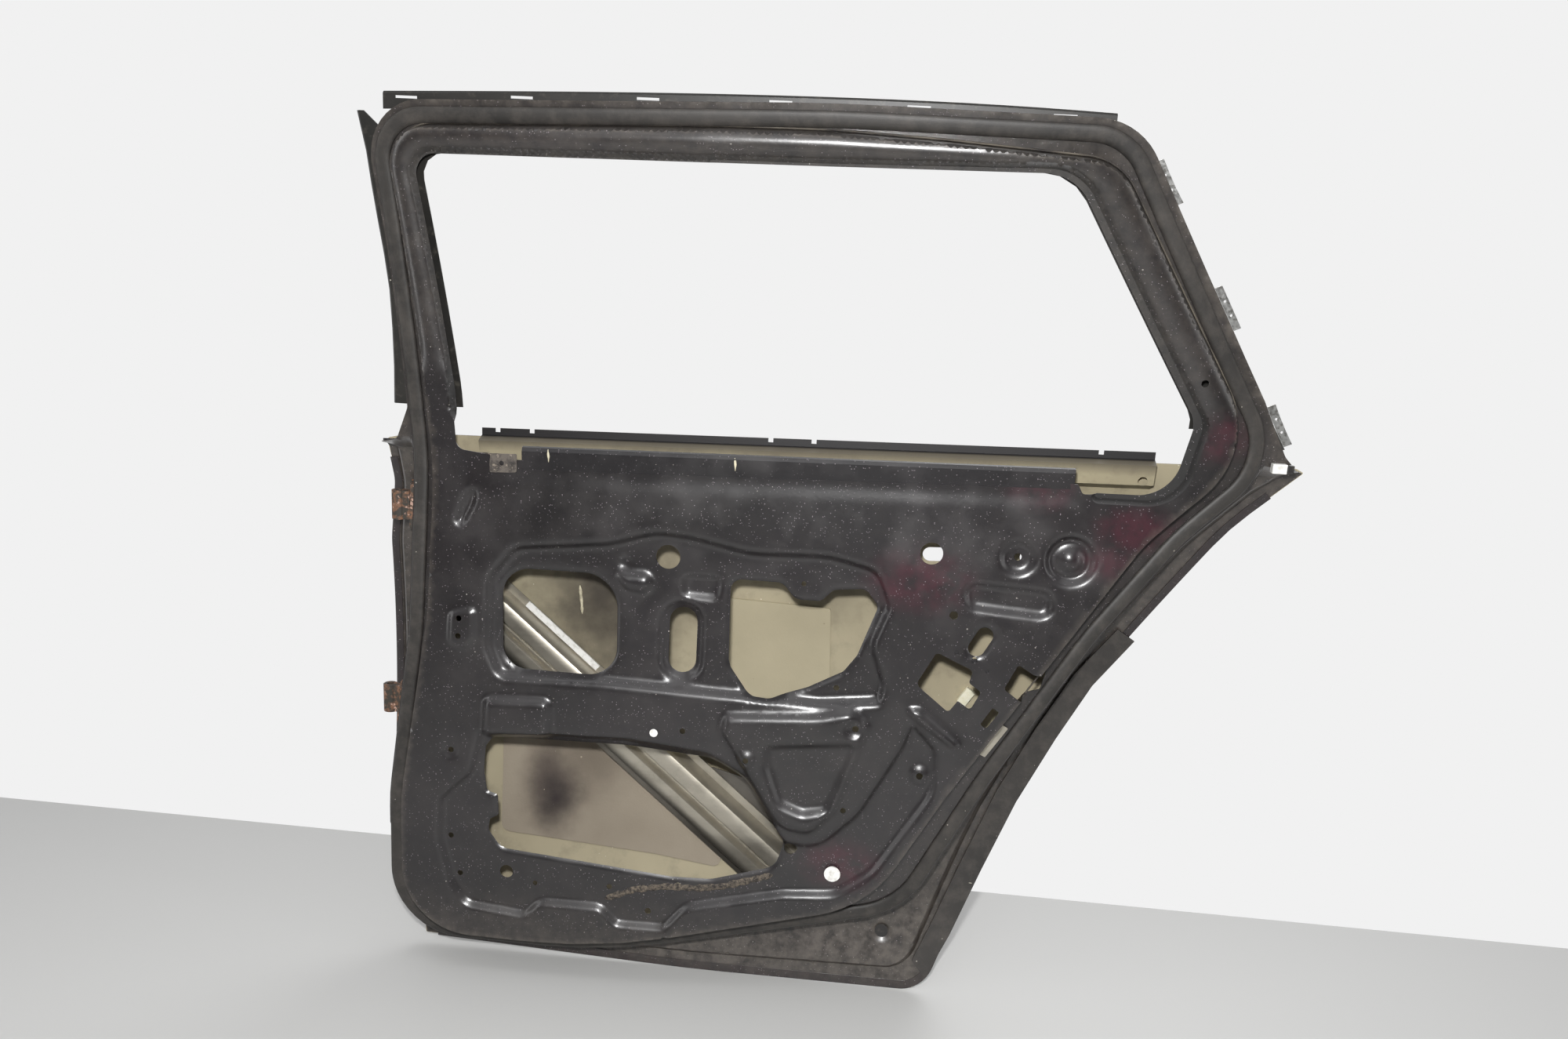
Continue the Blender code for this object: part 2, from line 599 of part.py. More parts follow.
sheet("belt_corner_bracket", BODY,
      outline([(134, 668, 2), (190, 670, 2), (190, 648, 3), (150, 646, 3), (134, 652, 2)]),
      bracket_y, [circle(150, 661, 2.5), circle(172, 658, 3)],
      spine=[[(150, 640), (150, 675)], [(160, 640), (160, 675)]], thick=0.0012)

# Side impact beam
BEAM_A, BEAM_B = Vector((84, 486)), Vector((532, 116))
beam_dir = (BEAM_B - BEAM_A).normalized()
beam_side = Vector((-beam_dir.y, beam_dir.x))


def beam_plane(x, z):
    t = (Vector((x, z)) - BEAM_A).dot(beam_dir) / (BEAM_B - BEAM_A).length
    ya, yb = float(skin_y(BEAM_A.y)) - 0.0140, float(skin_y(BEAM_B.y)) - 0.0140
    return ya + t * (yb - ya)


W2 = BEAM_WIDTH * 500
hat = [(-1.0, 0.0), (-0.76, 0.0), (-0.64, 0.86), (-0.30, 1.0), (-0.16, 0.30), (0.16, 0.30),
       (0.30, 1.0), (0.64, 0.86), (0.76, 0.0), (1.0, 0.0)]
rows = []
for i in range(7):
    c = BEAM_A.lerp(BEAM_B, i / 6)
    row = []
    for s, h in hat:
        q = c + beam_side * (s * W2)
        row.append(spot(q.x, beam_plane(c.x, c.y) - h * BEAM_DEPTH, q.y))
    rows.append(row)
loft("side_impact_beam", STEEL, rows, 0.0016)


PLATE_CREASES = [shifted(LAND_LOOP, -4), shifted(LAND_LOOP, -20)]


def plate_depth(pts):
    """On the beam's flange at its end, on the inner panel's foot beyond the land."""
    t = ramp(20 - inside(pts, LAND_LOOP), 16)
    a = np.array([beam_plane(x, z) for x, z in pts]) + 0.0016 + GAP
    b = skin_y(np.array(pts)[:, 1]) - 0.014 + SHEET + 2 * GAP
    return a * (1 - t) + b * t


front_plate = outline([(21, 534, 6), (44, 538, 8), (84, 540, 16), (128, 520, 12),
                       (92, 420, 12), (44, 404, 10), (19, 420, 6)], 30)
sheet("beam_front_plate", STEEL, front_plate, plate_depth, creases=PLATE_CREASES,
      spine=levels_between(400, 570, 28), thick=0.0014)
rear_plate = outline([(352, 214, 10), (404, 166, 10), (440, 142, 14), (500, 118, 20),
                      (560, 60, 20), (590, 34, 8), (640, 34, 8), (644, 62, 10),
                      (604, 92, 30), (574, 150, 20), (470, 250, 10), (420, 262, 10)], 30)
sheet("beam_rear_plate", STEEL, rear_plate, plate_depth, creases=PLATE_CREASES,
      spine=levels_between(30, 265, 28), thick=0.0014)

# Rubber seals
def seal_y(pts):
    y = face_y(np.array(pts)[:, 1]) + FACE_TO_LAND
    return y - SHEET / 2 - GAP - SEAL_HEIGHT / 2


seal_out = shifted(LAND_LOOP, -1.5)
seal_in = shifted(LAND_LOOP, -18.5)
sheet("perimeter_seal", RUBBER, seal_out, seal_y, [seal_in], thick=SEAL_HEIGHT)

arch_out = [(716, 6), (744, 62), (779, 150), (816, 242), (858, 330), (896, 405), (940, 468)]
arch_in = [(918, 482), (872, 418), (832, 342), (790, 254), (753, 160), (720, 76), (698, 26)]


def arch_y(pts):
    y = np.array([float(skin_y(p[1])) for p in pts])
    return y - 2 * HEM_STEP - SHEET / 2 - GAP - 0.0015


sheet("wheel_arch_edge_strip", RUBBER, arch_out + arch_in, arch_y, thick=0.003,
      spine=[[arch_out[i], arch_in[6 - i]] for i in range(1, 6)])

# Hinges
HINGES = {"upper": (588, 4.6), "lower": (332, 3.9)}   # height, stand-off (mm)
LEAF = (0.0055, 0.056)    # thickness and height of a hinge leaf
BOLT = 0.0042             # radius of the bolt's shank

for side, (z, off) in HINGES.items():
    x1 = crossing(z, False)
    slope = (crossing(z + 28, False) - crossing(z - 28, False)) / 56
    ya, yb = float(face_y(z)) + FACE_TO_LAND, float(skin_y(z)) - 0.014
    lean = Matrix.Rotation(math.atan(slope), 3, "Y") \
        @ Matrix.Rotation(math.atan2(7 * K, yb - ya), 3, "Z")
    mid = spot(x1 - 3.5 - off, (ya + yb) / 2 + 0.001, z)
    out = lean @ Vector((-1, 0, 0))
    leaf = block(f"{side}_hinge", (LEAF[0], (yb - ya) * 0.66, LEAF[1]), mid, RUSTED, lean,
                 bevel=0.0012)
    arm = block(f"{side}_hinge_arm", (0.016, 0.012, 0.036),
                mid + Vector((-0.009, -0.010, 0)), RUSTED, where=cutters, bevel=0.001)
    pin = mid + Vector((-0.0165, -0.010, 0))
    barrel = rod(f"{side}_hinge_barrel", 0.0088, 0.036, pin, (0, 0, 1), RUSTED, cutters, 20)
    bore = rod(f"{side}_hinge_bore", 0.0042, 0.05, pin, (0, 0, 1), RUSTED, cutters, 12)
    combine(leaf, arm, "UNION")
    combine(leaf, barrel, "UNION")
    combine(leaf, bore, "DIFFERENCE")
    for i, dz in ((1, -0.0215), (2, 0.0215)):
        at = mid + lean @ Vector((0, 0.011, dz))
        seat = rod(f"{side}_bolt_seat_{i}", BOLT + 0.0004, 0.02, at, out, RUSTED, cutters, 12)
        combine(leaf, seat, "DIFFERENCE")
        head = rod(f"{side}_hinge_bolt_{i}", 0.0062, 0.004,
                   at + out * (LEAF[0] / 2 + 0.0023), out, RUSTED, sides=6)
        shank = rod(f"{side}_shank_{i}", BOLT, 0.006, at + out * 0.0015, out, RUSTED,
                    cutters, 12)
        combine(head, shank, "UNION")
    rows = []
    for j in range(5):
        zz = z - 40 + 20 * j
        xw = crossing(zz, False)
        yl = float(face_y(zz)) + FACE_TO_LAND + SHEET + 0.0012
        yd = float(skin_y(zz)) - 0.014 + SHEET + 0.0012
        rows.append([spot(xw + 16, yl, zz), spot(xw + 2.6, yl, zz),
                     spot(xw - 3.4, yd, zz), spot(xw - 12, yd, zz)])
    loft(f"{side}_hinge_reinforcement", BODY, rows, 0.0016)

# Latch plate
latch_plate = outline([(655, 425, 10), (680, 484, 12), (712, 506, 10), (728, 514, 8),
                       (766, 513, 10), (772, 470, 10), (762, 448, 8), (770, 428, 8),
                       (745, 388, 10), (706, 384, 10)])


def behind_panel(pts):
    return panel_y(pts) + SHEET + GAP + 0.0004


sheet("latch_reinforcement", BODY, latch_plate, behind_panel,
      [shifted(outline(HOLE_LATCH, 200), 3), obround(742.5, 487, 45, 27, 62)],
      thick=0.0014)

# Damping pads
def on_skin(gap):
    return lambda pts: np.array([float(skin_y(p[1])) for p in pts]) - SHEET / 2 - gap


pad = outline([(137, 330, 8), (141, 140, 12), (352, 128, 10), (440, 118, 10),
               (430, 236, 10), (300, 330, 12)], 40)
sheet("lower_damping_pad", DAMPING, pad, on_skin(0.0019), spine=levels_between(0, 700, 50),
      thick=0.0024)
pad2 = outline([(414, 483, 4), (562, 479, 4), (568, 350, 4), (414, 352, 4)], 60)
sheet("upper_damping_pad", DAMPING, pad2, on_skin(0.0019), spine=levels_between(0, 700, 50),
      thick=0.0024)

# Small trim
CAP_LIFT = 3.1            # height of the corner cap above the panel's slope (mm)


def face_plug(name, x, z, r, mat, proud=0.0012, stem=0.004, deep=0.0):
    """Snap-in hole plug: a low cap on the trim face with its stem in the hole."""
    y = float(panel_y([(x + r + 3, z)])[0]) - SHEET / 2 - GAP
    cap = rod(name, (r + PLUG_RIM) * K, proud, spot(x, y - proud / 2, z), (0, 1, 0), mat,
              sides=20)
    body = rod(name + "_stem", (r - PLUG_CLEAR) * K, stem,
               spot(x, y - proud / 2 + stem / 2, z), (0, 1, 0), mat, cutters, 16)
    return combine(cap, body, "UNION")


face_plug("lower_hole_plug", 589, 178, 8, WHITE)
face_plug("small_hole_plug", 363, 342, 3, WHITE, 0.0008, 0.003)


def seat_y(points, thick):
    """Middle depth of a piece of this thickness that rests on the panel's inner side."""
    return float(min(panel_y(points))) - SHEET / 2 - GAP - thick / 2


def rail_clip(name, low, high, width):
    """Perforated strip along the outside of the rear frame rail."""
    zs = np.linspace(low, high, 4)
    xs = np.interp(zs, [z for _, z in REAR_RAIL], [x for x, _ in REAR_RAIL]) + 1.5
    inner = list(zip(xs, zs))
    outer = [(x + width, z + width * 0.5) for x, z in inner]
    holes = [circle((inner[i][0] + outer[i][0]) / 2, (inner[i][1] + outer[i][1]) / 2, 1.5)
             for i in (1, 2)]

    def depth(pts):
        return face_y(np.array(pts)[:, 1]) + FACE_TO_LAND + SHEET + GAP + 0.004
    return sheet(name, ALUMINIUM, inner + outer[::-1], depth, holes, thick=0.0014)


rail_clip("upper_rail_clip", 984, 1026, 8)
rail_clip("middle_rail_clip", 858, 902, 7)
rail_clip("lower_rail_clip", 732, 776, 8)

cap = outline([(5, 663, 2), (6, 667.5, 2), (32, 669, 2), (37, 663.5, 2)])
sheet("front_corner_cap", BODY, cap,
      lambda pts: panel_y([(x, z - CAP_LIFT) for x, z in pts]), thick=0.003)

corner = [(1048, 703), (1064, 703), (1064, 714), (1048, 714)]
y = seat_y(corner, 0.009)
block("corner_clip", (16 * K, 0.009, 11 * K), spot(1056, y, 708.5), WHITE, bevel=0.0008)
block("corner_tab", (7.5 * K, 0.007, 9 * K), spot(1068.3, y, 708.5), BLACK, bevel=0.0008)

tab = outline([(756, 336, 1), (763, 333, 1), (787, 372, 1), (780, 376, 2)])
sheet("edge_tab", STEEL, tab, lambda pts: np.full(len(pts), seat_y(tab, 0.0012)),
      thick=0.0012)

deep = panel_y([(656, 59), (656, 63), (656, 67)])
slope = float(deep[2] - deep[0]) / (8 * K)
axis = Vector((0, 1, -slope)).normalized()
rod("drain_plug", 8.5 * K, 0.0024,
    spot(656, float(deep[1]), 63) - axis * (SHEET / 2 + GAP + 0.0012), axis, BLACK, sides=20)

rows = []
for i in range(2):
    c = BEAM_A.lerp(BEAM_B, (0.15, 0.36)[i])
    y = beam_plane(c.x, c.y) - 0.0008 - GAP - 0.001
    rows.append([spot(q.x, y, q.y) for q in (c + beam_side * (W2 * s) for s in (0.80, 1.0))])
loft("adhesive_strip", WHITE, rows, 0.002)
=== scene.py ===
"""Looks of a right rear car door shell, seen from its inner side: gloss plum paint on
pressed steel, beige primer inside, rubber seal, worn hinges and a pale studio floor."""
import math
import bpy
import bmesh
import numpy as np
from mathutils import Matrix, Vector, geometry
from mathutils.bvhtree import BVHTree


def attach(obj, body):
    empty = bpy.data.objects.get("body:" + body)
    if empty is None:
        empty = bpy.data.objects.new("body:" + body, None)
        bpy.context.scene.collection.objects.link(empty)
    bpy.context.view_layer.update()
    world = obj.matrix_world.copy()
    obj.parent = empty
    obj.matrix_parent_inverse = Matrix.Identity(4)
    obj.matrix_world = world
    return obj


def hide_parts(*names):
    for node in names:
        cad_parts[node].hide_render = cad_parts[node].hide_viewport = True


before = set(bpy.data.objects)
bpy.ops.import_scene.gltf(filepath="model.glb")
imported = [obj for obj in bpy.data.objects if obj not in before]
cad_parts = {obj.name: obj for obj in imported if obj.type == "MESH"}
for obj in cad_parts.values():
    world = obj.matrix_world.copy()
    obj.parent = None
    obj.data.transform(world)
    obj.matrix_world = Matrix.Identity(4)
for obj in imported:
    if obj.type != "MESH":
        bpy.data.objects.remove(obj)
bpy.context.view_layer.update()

bpy.ops.object.select_all(action="DESELECT")

# Camera, light and floor
# The door stands upright on its sill as in the photograph, on a pale floor that ends 0.2 m
# behind it. Soft light comes from all round; a small lamp beside the camera is the flash.
CAMERA_PLACE = (0.07262, -1.36265, 0.93789)
CAMERA_RIGHT = (0.99407, 0.09546, 0.05202)
CAMERA_UP = (-0.07189, 0.21829, 0.97323)
CAMERA_LENS, CAMERA_SENSOR = 27.45, 36.0
FLOOR_BACK = 0.30
FLOOR_SIZE = (9.0, 3.0)

camera = bpy.data.cameras.new("camera")
camera.lens = CAMERA_LENS
camera.sensor_width = CAMERA_SENSOR
viewer = bpy.data.objects.new("camera", camera)
bpy.context.scene.collection.objects.link(viewer)
right, up = Vector(CAMERA_RIGHT), Vector(CAMERA_UP)
turn = Matrix((right, up, right.cross(up))).transposed().to_4x4()
viewer.matrix_world = Matrix.Translation(CAMERA_PLACE) @ turn
bpy.context.scene.camera = viewer
bpy.context.scene.view_settings.view_transform = "Standard"


def colour(hexcode):
    """Linear colour of an sRGB hex value."""
    parts = [int(hexcode[i:i + 2], 16) / 255 for i in (1, 3, 5)]
    lin = [c / 12.92 if c <= 0.04045 else ((c + 0.055) / 1.055) ** 2.4 for c in parts]
    return (*lin, 1.0)


def node(tree, kind, inputs=None, **settings):
    """Adds a node; inputs are values or the sockets that feed them."""
    made = tree.nodes.new(kind)
    for key, value in settings.items():
        setattr(made, key, value)
    for key, value in (inputs or {}).items():
        if isinstance(value, bpy.types.NodeSocket):
            tree.links.new(value, made.inputs[key])
        else:
            made.inputs[key].default_value = value
    return made


def finish_of(name, **constants):
    """New material with its principled shader set: material, shader, tree, object coordinates."""
    mat = bpy.data.materials.new(name)
    mat.use_nodes = True
    tree = mat.node_tree
    shader = tree.nodes["Principled BSDF"]
    for key, value in constants.items():
        shader.inputs[key.replace("_", " ")].default_value = value
    return mat, shader, tree, node(tree, "ShaderNodeTexCoord").outputs["Object"]


def painted(tree, shader, tone):
    """Gives the finish this colour."""
    tree.links.new(tone, shader.inputs["Base Color"])


world = bpy.data.worlds.new("studio")
world.use_nodes = True
bpy.context.scene.world = world
sky = world.node_tree
way = node(sky, "ShaderNodeTexCoord")
axes = node(sky, "ShaderNodeSeparateXYZ", {0: way.outputs["Generated"]})
level = node(sky, "ShaderNodeMapRange", {0: axes.outputs["Z"], 1: -0.10, 2: 0.85, 3: 0.0, 4: 1.0})
room = node(sky, "ShaderNodeMix", {0: level.outputs[0], 6: colour("#3e3d3c"),
                                   7: colour("#b4b4b6")}, data_type="RGBA")
# The pale backdrop shows to the camera, and in metal that faces it
seen = node(sky, "ShaderNodeLightPath")
behind = node(sky, "ShaderNodeMapRange", {0: axes.outputs["Y"], 1: 0.0, 2: 0.35, 3: 0.0, 4: 1.0})
mirrored = node(sky, "ShaderNodeMath", {0: seen.outputs["Is Glossy Ray"], 1: behind.outputs[0]},
                operation="MULTIPLY")
direct = node(sky, "ShaderNodeMath", {0: seen.outputs["Is Camera Ray"],
                                      1: seen.outputs["Is Transmission Ray"]}, operation="MAXIMUM")
either = node(sky, "ShaderNodeMath", {0: direct.outputs[0], 1: mirrored.outputs[0]},
              operation="MAXIMUM")
backdrop = node(sky, "ShaderNodeMix", {0: either.outputs[0], 6: room.outputs[2],
                                       7: colour("#f1f1f1")}, data_type="RGBA")
sky.links.new(backdrop.outputs[2], sky.nodes["Background"].inputs["Color"])
sky.nodes["Background"].inputs["Strength"].default_value = 1.0

# name, place (m), width and height (m), power (W)
LAMPS = [("key_light", (0.030, -1.335, 1.055), 0.06, 0.06, 20.0),
         ("overhead_softbox", (0.05, -1.0, 2.4), 2.6, 0.4, 5.0),
         ("front_softbox", (0.0, -2.6, 2.3), 2.4, 0.8, 7.0),
         ("left_softbox", (-1.7, -0.8, 0.9), 0.25, 1.8, 4.5),
         ("right_softbox", (2.0, -0.9, 0.8), 0.25, 1.8, 4.5),
         ("back_softbox", (0.9, 2.5, 2.1), 2.0, 2.0, 30.0)]
for name, place, width, tall, power in LAMPS:
    lamp = bpy.data.lights.new(name, "AREA")
    lamp.shape = "RECTANGLE"
    lamp.size, lamp.size_y, lamp.energy = width, tall, power
    lit = bpy.data.objects.new(name, lamp)
    lit.location = place
    lit.rotation_euler = (Vector((0, 0, 0.5)) - Vector(place)).to_track_quat("-Z", "Y").to_euler()
    bpy.context.scene.collection.objects.link(lit)

bpy.ops.mesh.primitive_plane_add(size=1.0, location=(0, FLOOR_BACK - FLOOR_SIZE[1] / 2, 0))
floor = bpy.context.object
floor.name = "floor"
floor.scale = (*FLOOR_SIZE, 1.0)
bpy.ops.object.transform_apply(location=True, rotation=True, scale=True)
floor.select_set(False)
floor_paint, shader, tree, _ = finish_of("studio_floor", Roughness=0.6)
to_camera = node(tree, "ShaderNodeLightPath").outputs["Is Camera Ray"]
pale = node(tree, "ShaderNodeMix", {0: to_camera, 6: colour("#bcbcba"), 7: colour("#cfcfcd")},
            data_type="RGBA").outputs[2]
painted(tree, shader, pale)
floor.data.materials.append(floor_paint)

# Inner panel
# One deep-drawn sheet, 0.9 mm steel, that makes the trim face, the seal's step, the
# window frame and the flange which the outer skin is folded round; dipped and painted.
MM = 0.001
MID_X, MID_Y, LOW_Z = 546.0, 0.0415, -14.0
SHEET = 0.0009
BELT, BELT_RISE = 660.0, 0.036
FACE_TO_LAND, STEP_RUN = 0.036, 7
SKIN_GAP = 0.014
HEM_STEP, HEM_RUN = 0.0015, 9
CHANNEL_DEPTH, CHANNEL_RUN = 0.011, 5
FINE_GRID = 7.0
FOLD_INSET = 1.6
# Outlines: corners (x, z, radius), in drawn mm
FACE_EDGE = [(65, 1022, 42), (540, 1037, 2500), (832, 1019, 60), (1022, 730, 95),
             (914, 616, 150), (716, 290, 600), (634, 141, 150), (300, 48, 700), (48, 50, 120),
             (47, 230, 300), (82, 470, 400), (90, 640, 500)]
LAND_EDGE = [(34, 1047, 62), (540, 1063, 2500), (846, 1060, 75), (1061, 714, 85),
             (965, 612, 200), (880, 490, 400), (770, 297, 600), (680, 118, 110),
             (300, 22, 700), (18, 22, 150), (17, 215, 300), (44, 440, 400), (52, 640, 500)]
HEM_EDGE = [(-3, 664, 4), (3, 610, 60), (-8, 530, 120), (-9, 190, 250), (24, 40, 30),
            (28, 34, 2), (42, 34, 2), (47, -3, 3), (400, -13, 3000), (714, -11, 45),
            (800, 215, 900), (890, 405, 400), (1030, 622, 300), (1102, 697, 2)]
FRAME_EDGE = [(1080, 706, 6), (1064, 722, 20), (1028, 788, 300), (851, 1067, 80),
              (540, 1070, 2500), (27, 1054, 68), (38, 900, 400), (45, 712, 10), (30, 674, 8)]
HEM_LINE = [(-60, 1150, 0), (-60, 674, 0), (9, 655, 3), (13, 610, 60), (3, 530, 120),
            (2, 200, 250), (34, 60, 30), (62, 12, 20), (400, 6, 3000), (692, 13, 45),
            (770, 230, 900), (862, 415, 400), (985, 596, 300), (1048, 668, 60),
            (1078, 692, 6), (1150, 712, 0), (1150, 1150, 0)]
WINDOW = [(90, 999, 24), (540, 1005, 2500), (789, 1009, 55), (953, 757, 30),
          (938, 671, 45), (840, 669, 5), (834, 680, 3), (190, 663, 5), (118, 672, 12),
          (116, 740, 200)]
RUN_CHANNEL = [(84, 1006, 28), (540, 1013, 2500), (797, 1019, 62), (968, 757, 35),
               (951, 660, 50), (850, 659, 10), (846, 700, 10), (125, 700, 10),
               (111, 712, 10), (110, 760, 100)]
BIG_HOLES = [
    [(170, 530, 34), (311, 531, 42), (313, 404, 36), (172, 404, 30)],
    [(446, 537, 14), (508, 537, 16), (524, 518, 14), (554, 518, 10), (568, 533, 12),
     (606, 537, 14), (622, 517, 10), (601, 455, 8), (586, 434, 10), (545, 411, 30),
     (500, 394, 30), (474, 396, 20), (448, 432, 30)],
    [(151, 301, 8), (161, 315, 8), (330, 319, 300), (436, 312, 80), (480, 288, 40),
     (529, 214, 25), (518, 177, 22), (440, 152, 40), (390, 150, 60), (172, 167, 20),
     (155, 190, 12), (157, 205, 5), (168, 211, 5), (167, 238, 4), (153, 242, 6),
     (149, 270, 20)]]
LATCH_HOLES = [
    [(693, 471, 5), (672, 430, 8), (712, 399, 4), (722, 414, 2), (737, 404, 4),
     (748, 427, 4), (733, 437, 4), (737, 452, 6)],
    [(788, 464, 3), (806, 453, 3), (826, 450, 2), (820, 424, 4), (797, 417, 5),
     (774, 433, 3)],
    [(763, 409, 2), (771, 404, 2), (758, 383, 3), (750, 387, 3)]]
ROUND_HOLES = [(371, 558, 14.5), (678, 588, 13), (180, 137, 8.5), (536, 205, 8),
               (589, 178, 8), (363, 342, 3), (776, 590, 4.5), (709, 517, 5),
               (716, 473, 3), (737, 465, 3.5), (753, 453, 2.5), (533, 538, 3),
               (579, 414, 3.5), (398, 347, 3.5), (477, 321, 3.5), (605, 370, 4),
               (685, 314, 4), (597, 264, 3.5), (110, 296, 3.5), (108, 179, 3.5),
               (120, 129, 3.5), (217, 125, 3), (312, 130, 3.5), (399, 141, 3.5),
               (362, 102, 4), (122, 467, 3.5), (121, 445, 3.5), (953, 802, 4)]
OBLONG_HOLE = (391, 455, 82, 34, 90)
OBLONG_RIM = (391, 455, 106, 58, 90)
LATCH_SLOT = (742.5, 487, 38, 20, 62)
# Pressed forms: outline or x, z, radius; depth (m, positive away from the cabin); edge run
PRESSINGS = [
    ([(152, 520, 30), (185, 562, 30), (300, 575, 100), (355, 593, 80), (400, 590, 80),
      (470, 576, 120), (560, 580, 120), (622, 566, 30), (641, 520, 20), (623, 470, 25),
      (640, 425, 20), (636, 398, 12), (560, 389, 30), (440, 391, 40), (300, 394, 40),
      (166, 391, 20), (150, 430, 20)], 0.0100, 11),
    ([(92, 230, 20), (90, 180, 40), (106, 118, 20), (126, 86, 25), (208, 78, 14),
      (226, 98, 14), (300, 99, 14), (322, 78, 14), (386, 79, 14), (412, 111, 20),
      (530, 141, 60), (596, 147, 40), (640, 180, 60), (706, 292, 60), (706, 350, 25),
      (669, 388, 8), (658, 350, 40), (612, 262, 60), (566, 214, 40), (520, 220, 30),
      (478, 298, 30), (432, 324, 60), (330, 333, 60), (144, 328, 14), (132, 270, 30),
      (110, 250, 20)], 0.0085, 9),
    ([(440, 352, 14), (446, 377, 10), (560, 386, 60), (598, 396, 16), (626, 376, 14),
      (610, 330, 60), (590, 262, 24), (560, 226, 25), (520, 232, 30), (480, 292, 40),
      (452, 335, 30)], -0.0080, 10),
    ([(495, 343, 12), (617, 357, 12), (584, 258, 18), (548, 250, 20), (514, 262, 24),
      (496, 310, 30)], 0.0090, 12),
    ([(112, 722, 5), (112, 596, 10), (150, 630, 20), (350, 630, 300), (504, 636, 300),
      (842, 648, 14), (846, 722, 5)], 0.0017, 24),
    ([(145, 630, 8), (126, 624, 14), (112, 584, 9), (125, 573, 9), (142, 606, 20)], 0.0070, 8),
    ([(298, 539, 12), (358, 541, 16), (354, 506, 16), (318, 512, 14)], -0.0070, 11),
    ([(387, 540, 10), (438, 541, 10), (436, 508, 10), (389, 509, 10)], 0.0045, 6),
    ([(716, 560, 17), (822, 555, 17), (823, 518, 17), (720, 524, 17)], 0.0065, 7),
    ([(664, 402, 5), (680, 402, 5), (732, 360, 5), (724, 351, 5), (664, 392, 5)], -0.0065, 5),
    ([(148, 312, 8), (150, 372, 12), (238, 376, 12), (239, 322, 12)], -0.0080, 9),
    ([(108, 474, 9), (143, 484, 9), (142, 440, 12), (128, 424, 9), (106, 434, 9)], -0.0045, 5)]
ROUND_PRESSINGS = [(776, 590, 23, 0.0060, 9), (835, 591, 31, 0.0075, 8),
                   (835, 591, 20, -0.0085, 16), (477, 321, 12, -0.0035, 5),
                   (605, 370, 13, 0.0045, 5), (685, 314, 13, -0.0035, 5),
                   (110, 296, 12, 0.0025, 4), (320, 548, 9, 0.0020, 3),
                   (656, 63, 13, 0.0035, 4)]


def outline(corners, longest=8.0, step=7.0):
    """Closed loop through corners (x, z, radius), each rounded by its radius."""
    n, pts = len(corners), []
    for i in range(n):
        a, b, c = (Vector(corners[(i + j) % n][:2]) for j in (-1, 0, 1))
        u, v = a - b, c - b
        lu, lv = u.length, v.length
        u, v = u / lu, v / lv
        bend = math.pi - u.angle(v)
        r = corners[i][2]
        t = min(r * math.tan(bend / 2), 0.48 * lu, 0.48 * lv)
        if r <= 0 or bend < 0.01:
            pts.append(b)
            continue
        r = t / math.tan(bend / 2)
        p, q = b + u * t, b + v * t
        k = max(3, math.ceil(math.degrees(bend) / step) + 1)
        o = b + (u + v).normalized() * math.hypot(r, t)
        for j in range(k):
            w = j / (k - 1)
            pts.append(o + ((p - o) * (1 - w) + (q - o) * w).normalized() * r)
    out = []
    for i, p in enumerate(pts):
        q = pts[(i + 1) % len(pts)]
        m = max(1, math.ceil((q - p).length / longest))
        out += [p.lerp(q, j / m) for j in range(m)]
    return [(p.x, p.y) for p in out]


def circle(x, z, r, n=None):
    """Closed loop of n points round a centre."""
    n = n or max(12, int(r * 2.2))
    return [(x + r * math.cos(2 * math.pi * i / n), z + r * math.sin(2 * math.pi * i / n))
            for i in range(n)]


def obround(x, z, length, width, angle, n=12):
    """Closed loop with straight sides and round ends, turned by angle (degrees)."""
    r, h, a = width / 2, (length - width) / 2, math.radians(angle)
    pts = []
    for s in (1, -1):
        for i in range(n + 1):
            t = a + (math.pi / 2) * (1 if s < 0 else -1) + math.pi * i / n
            pts.append((x + s * h * math.cos(a) + r * math.cos(t),
                        z + s * h * math.sin(a) + r * math.sin(t), 0))
    return outline(pts, 5.0)


def shifted(loop, d):
    """The loop moved outward by d, or inward when d is negative."""
    p = np.array(loop)
    e = np.roll(p, -1, 0) - p
    e /= np.linalg.norm(e, axis=1)[:, None] + 1e-12
    area = np.sum(p[:, 0] * np.roll(p[:, 1], -1) - np.roll(p[:, 0], -1) * p[:, 1])
    nrm = np.c_[e[:, 1], -e[:, 0]] * (1 if area > 0 else -1)
    m = nrm + np.roll(nrm, 1, 0)
    m /= np.maximum(np.sum(m * m, 1), 1.0)[:, None] / 2.0
    return [tuple(v) for v in p + m * d]


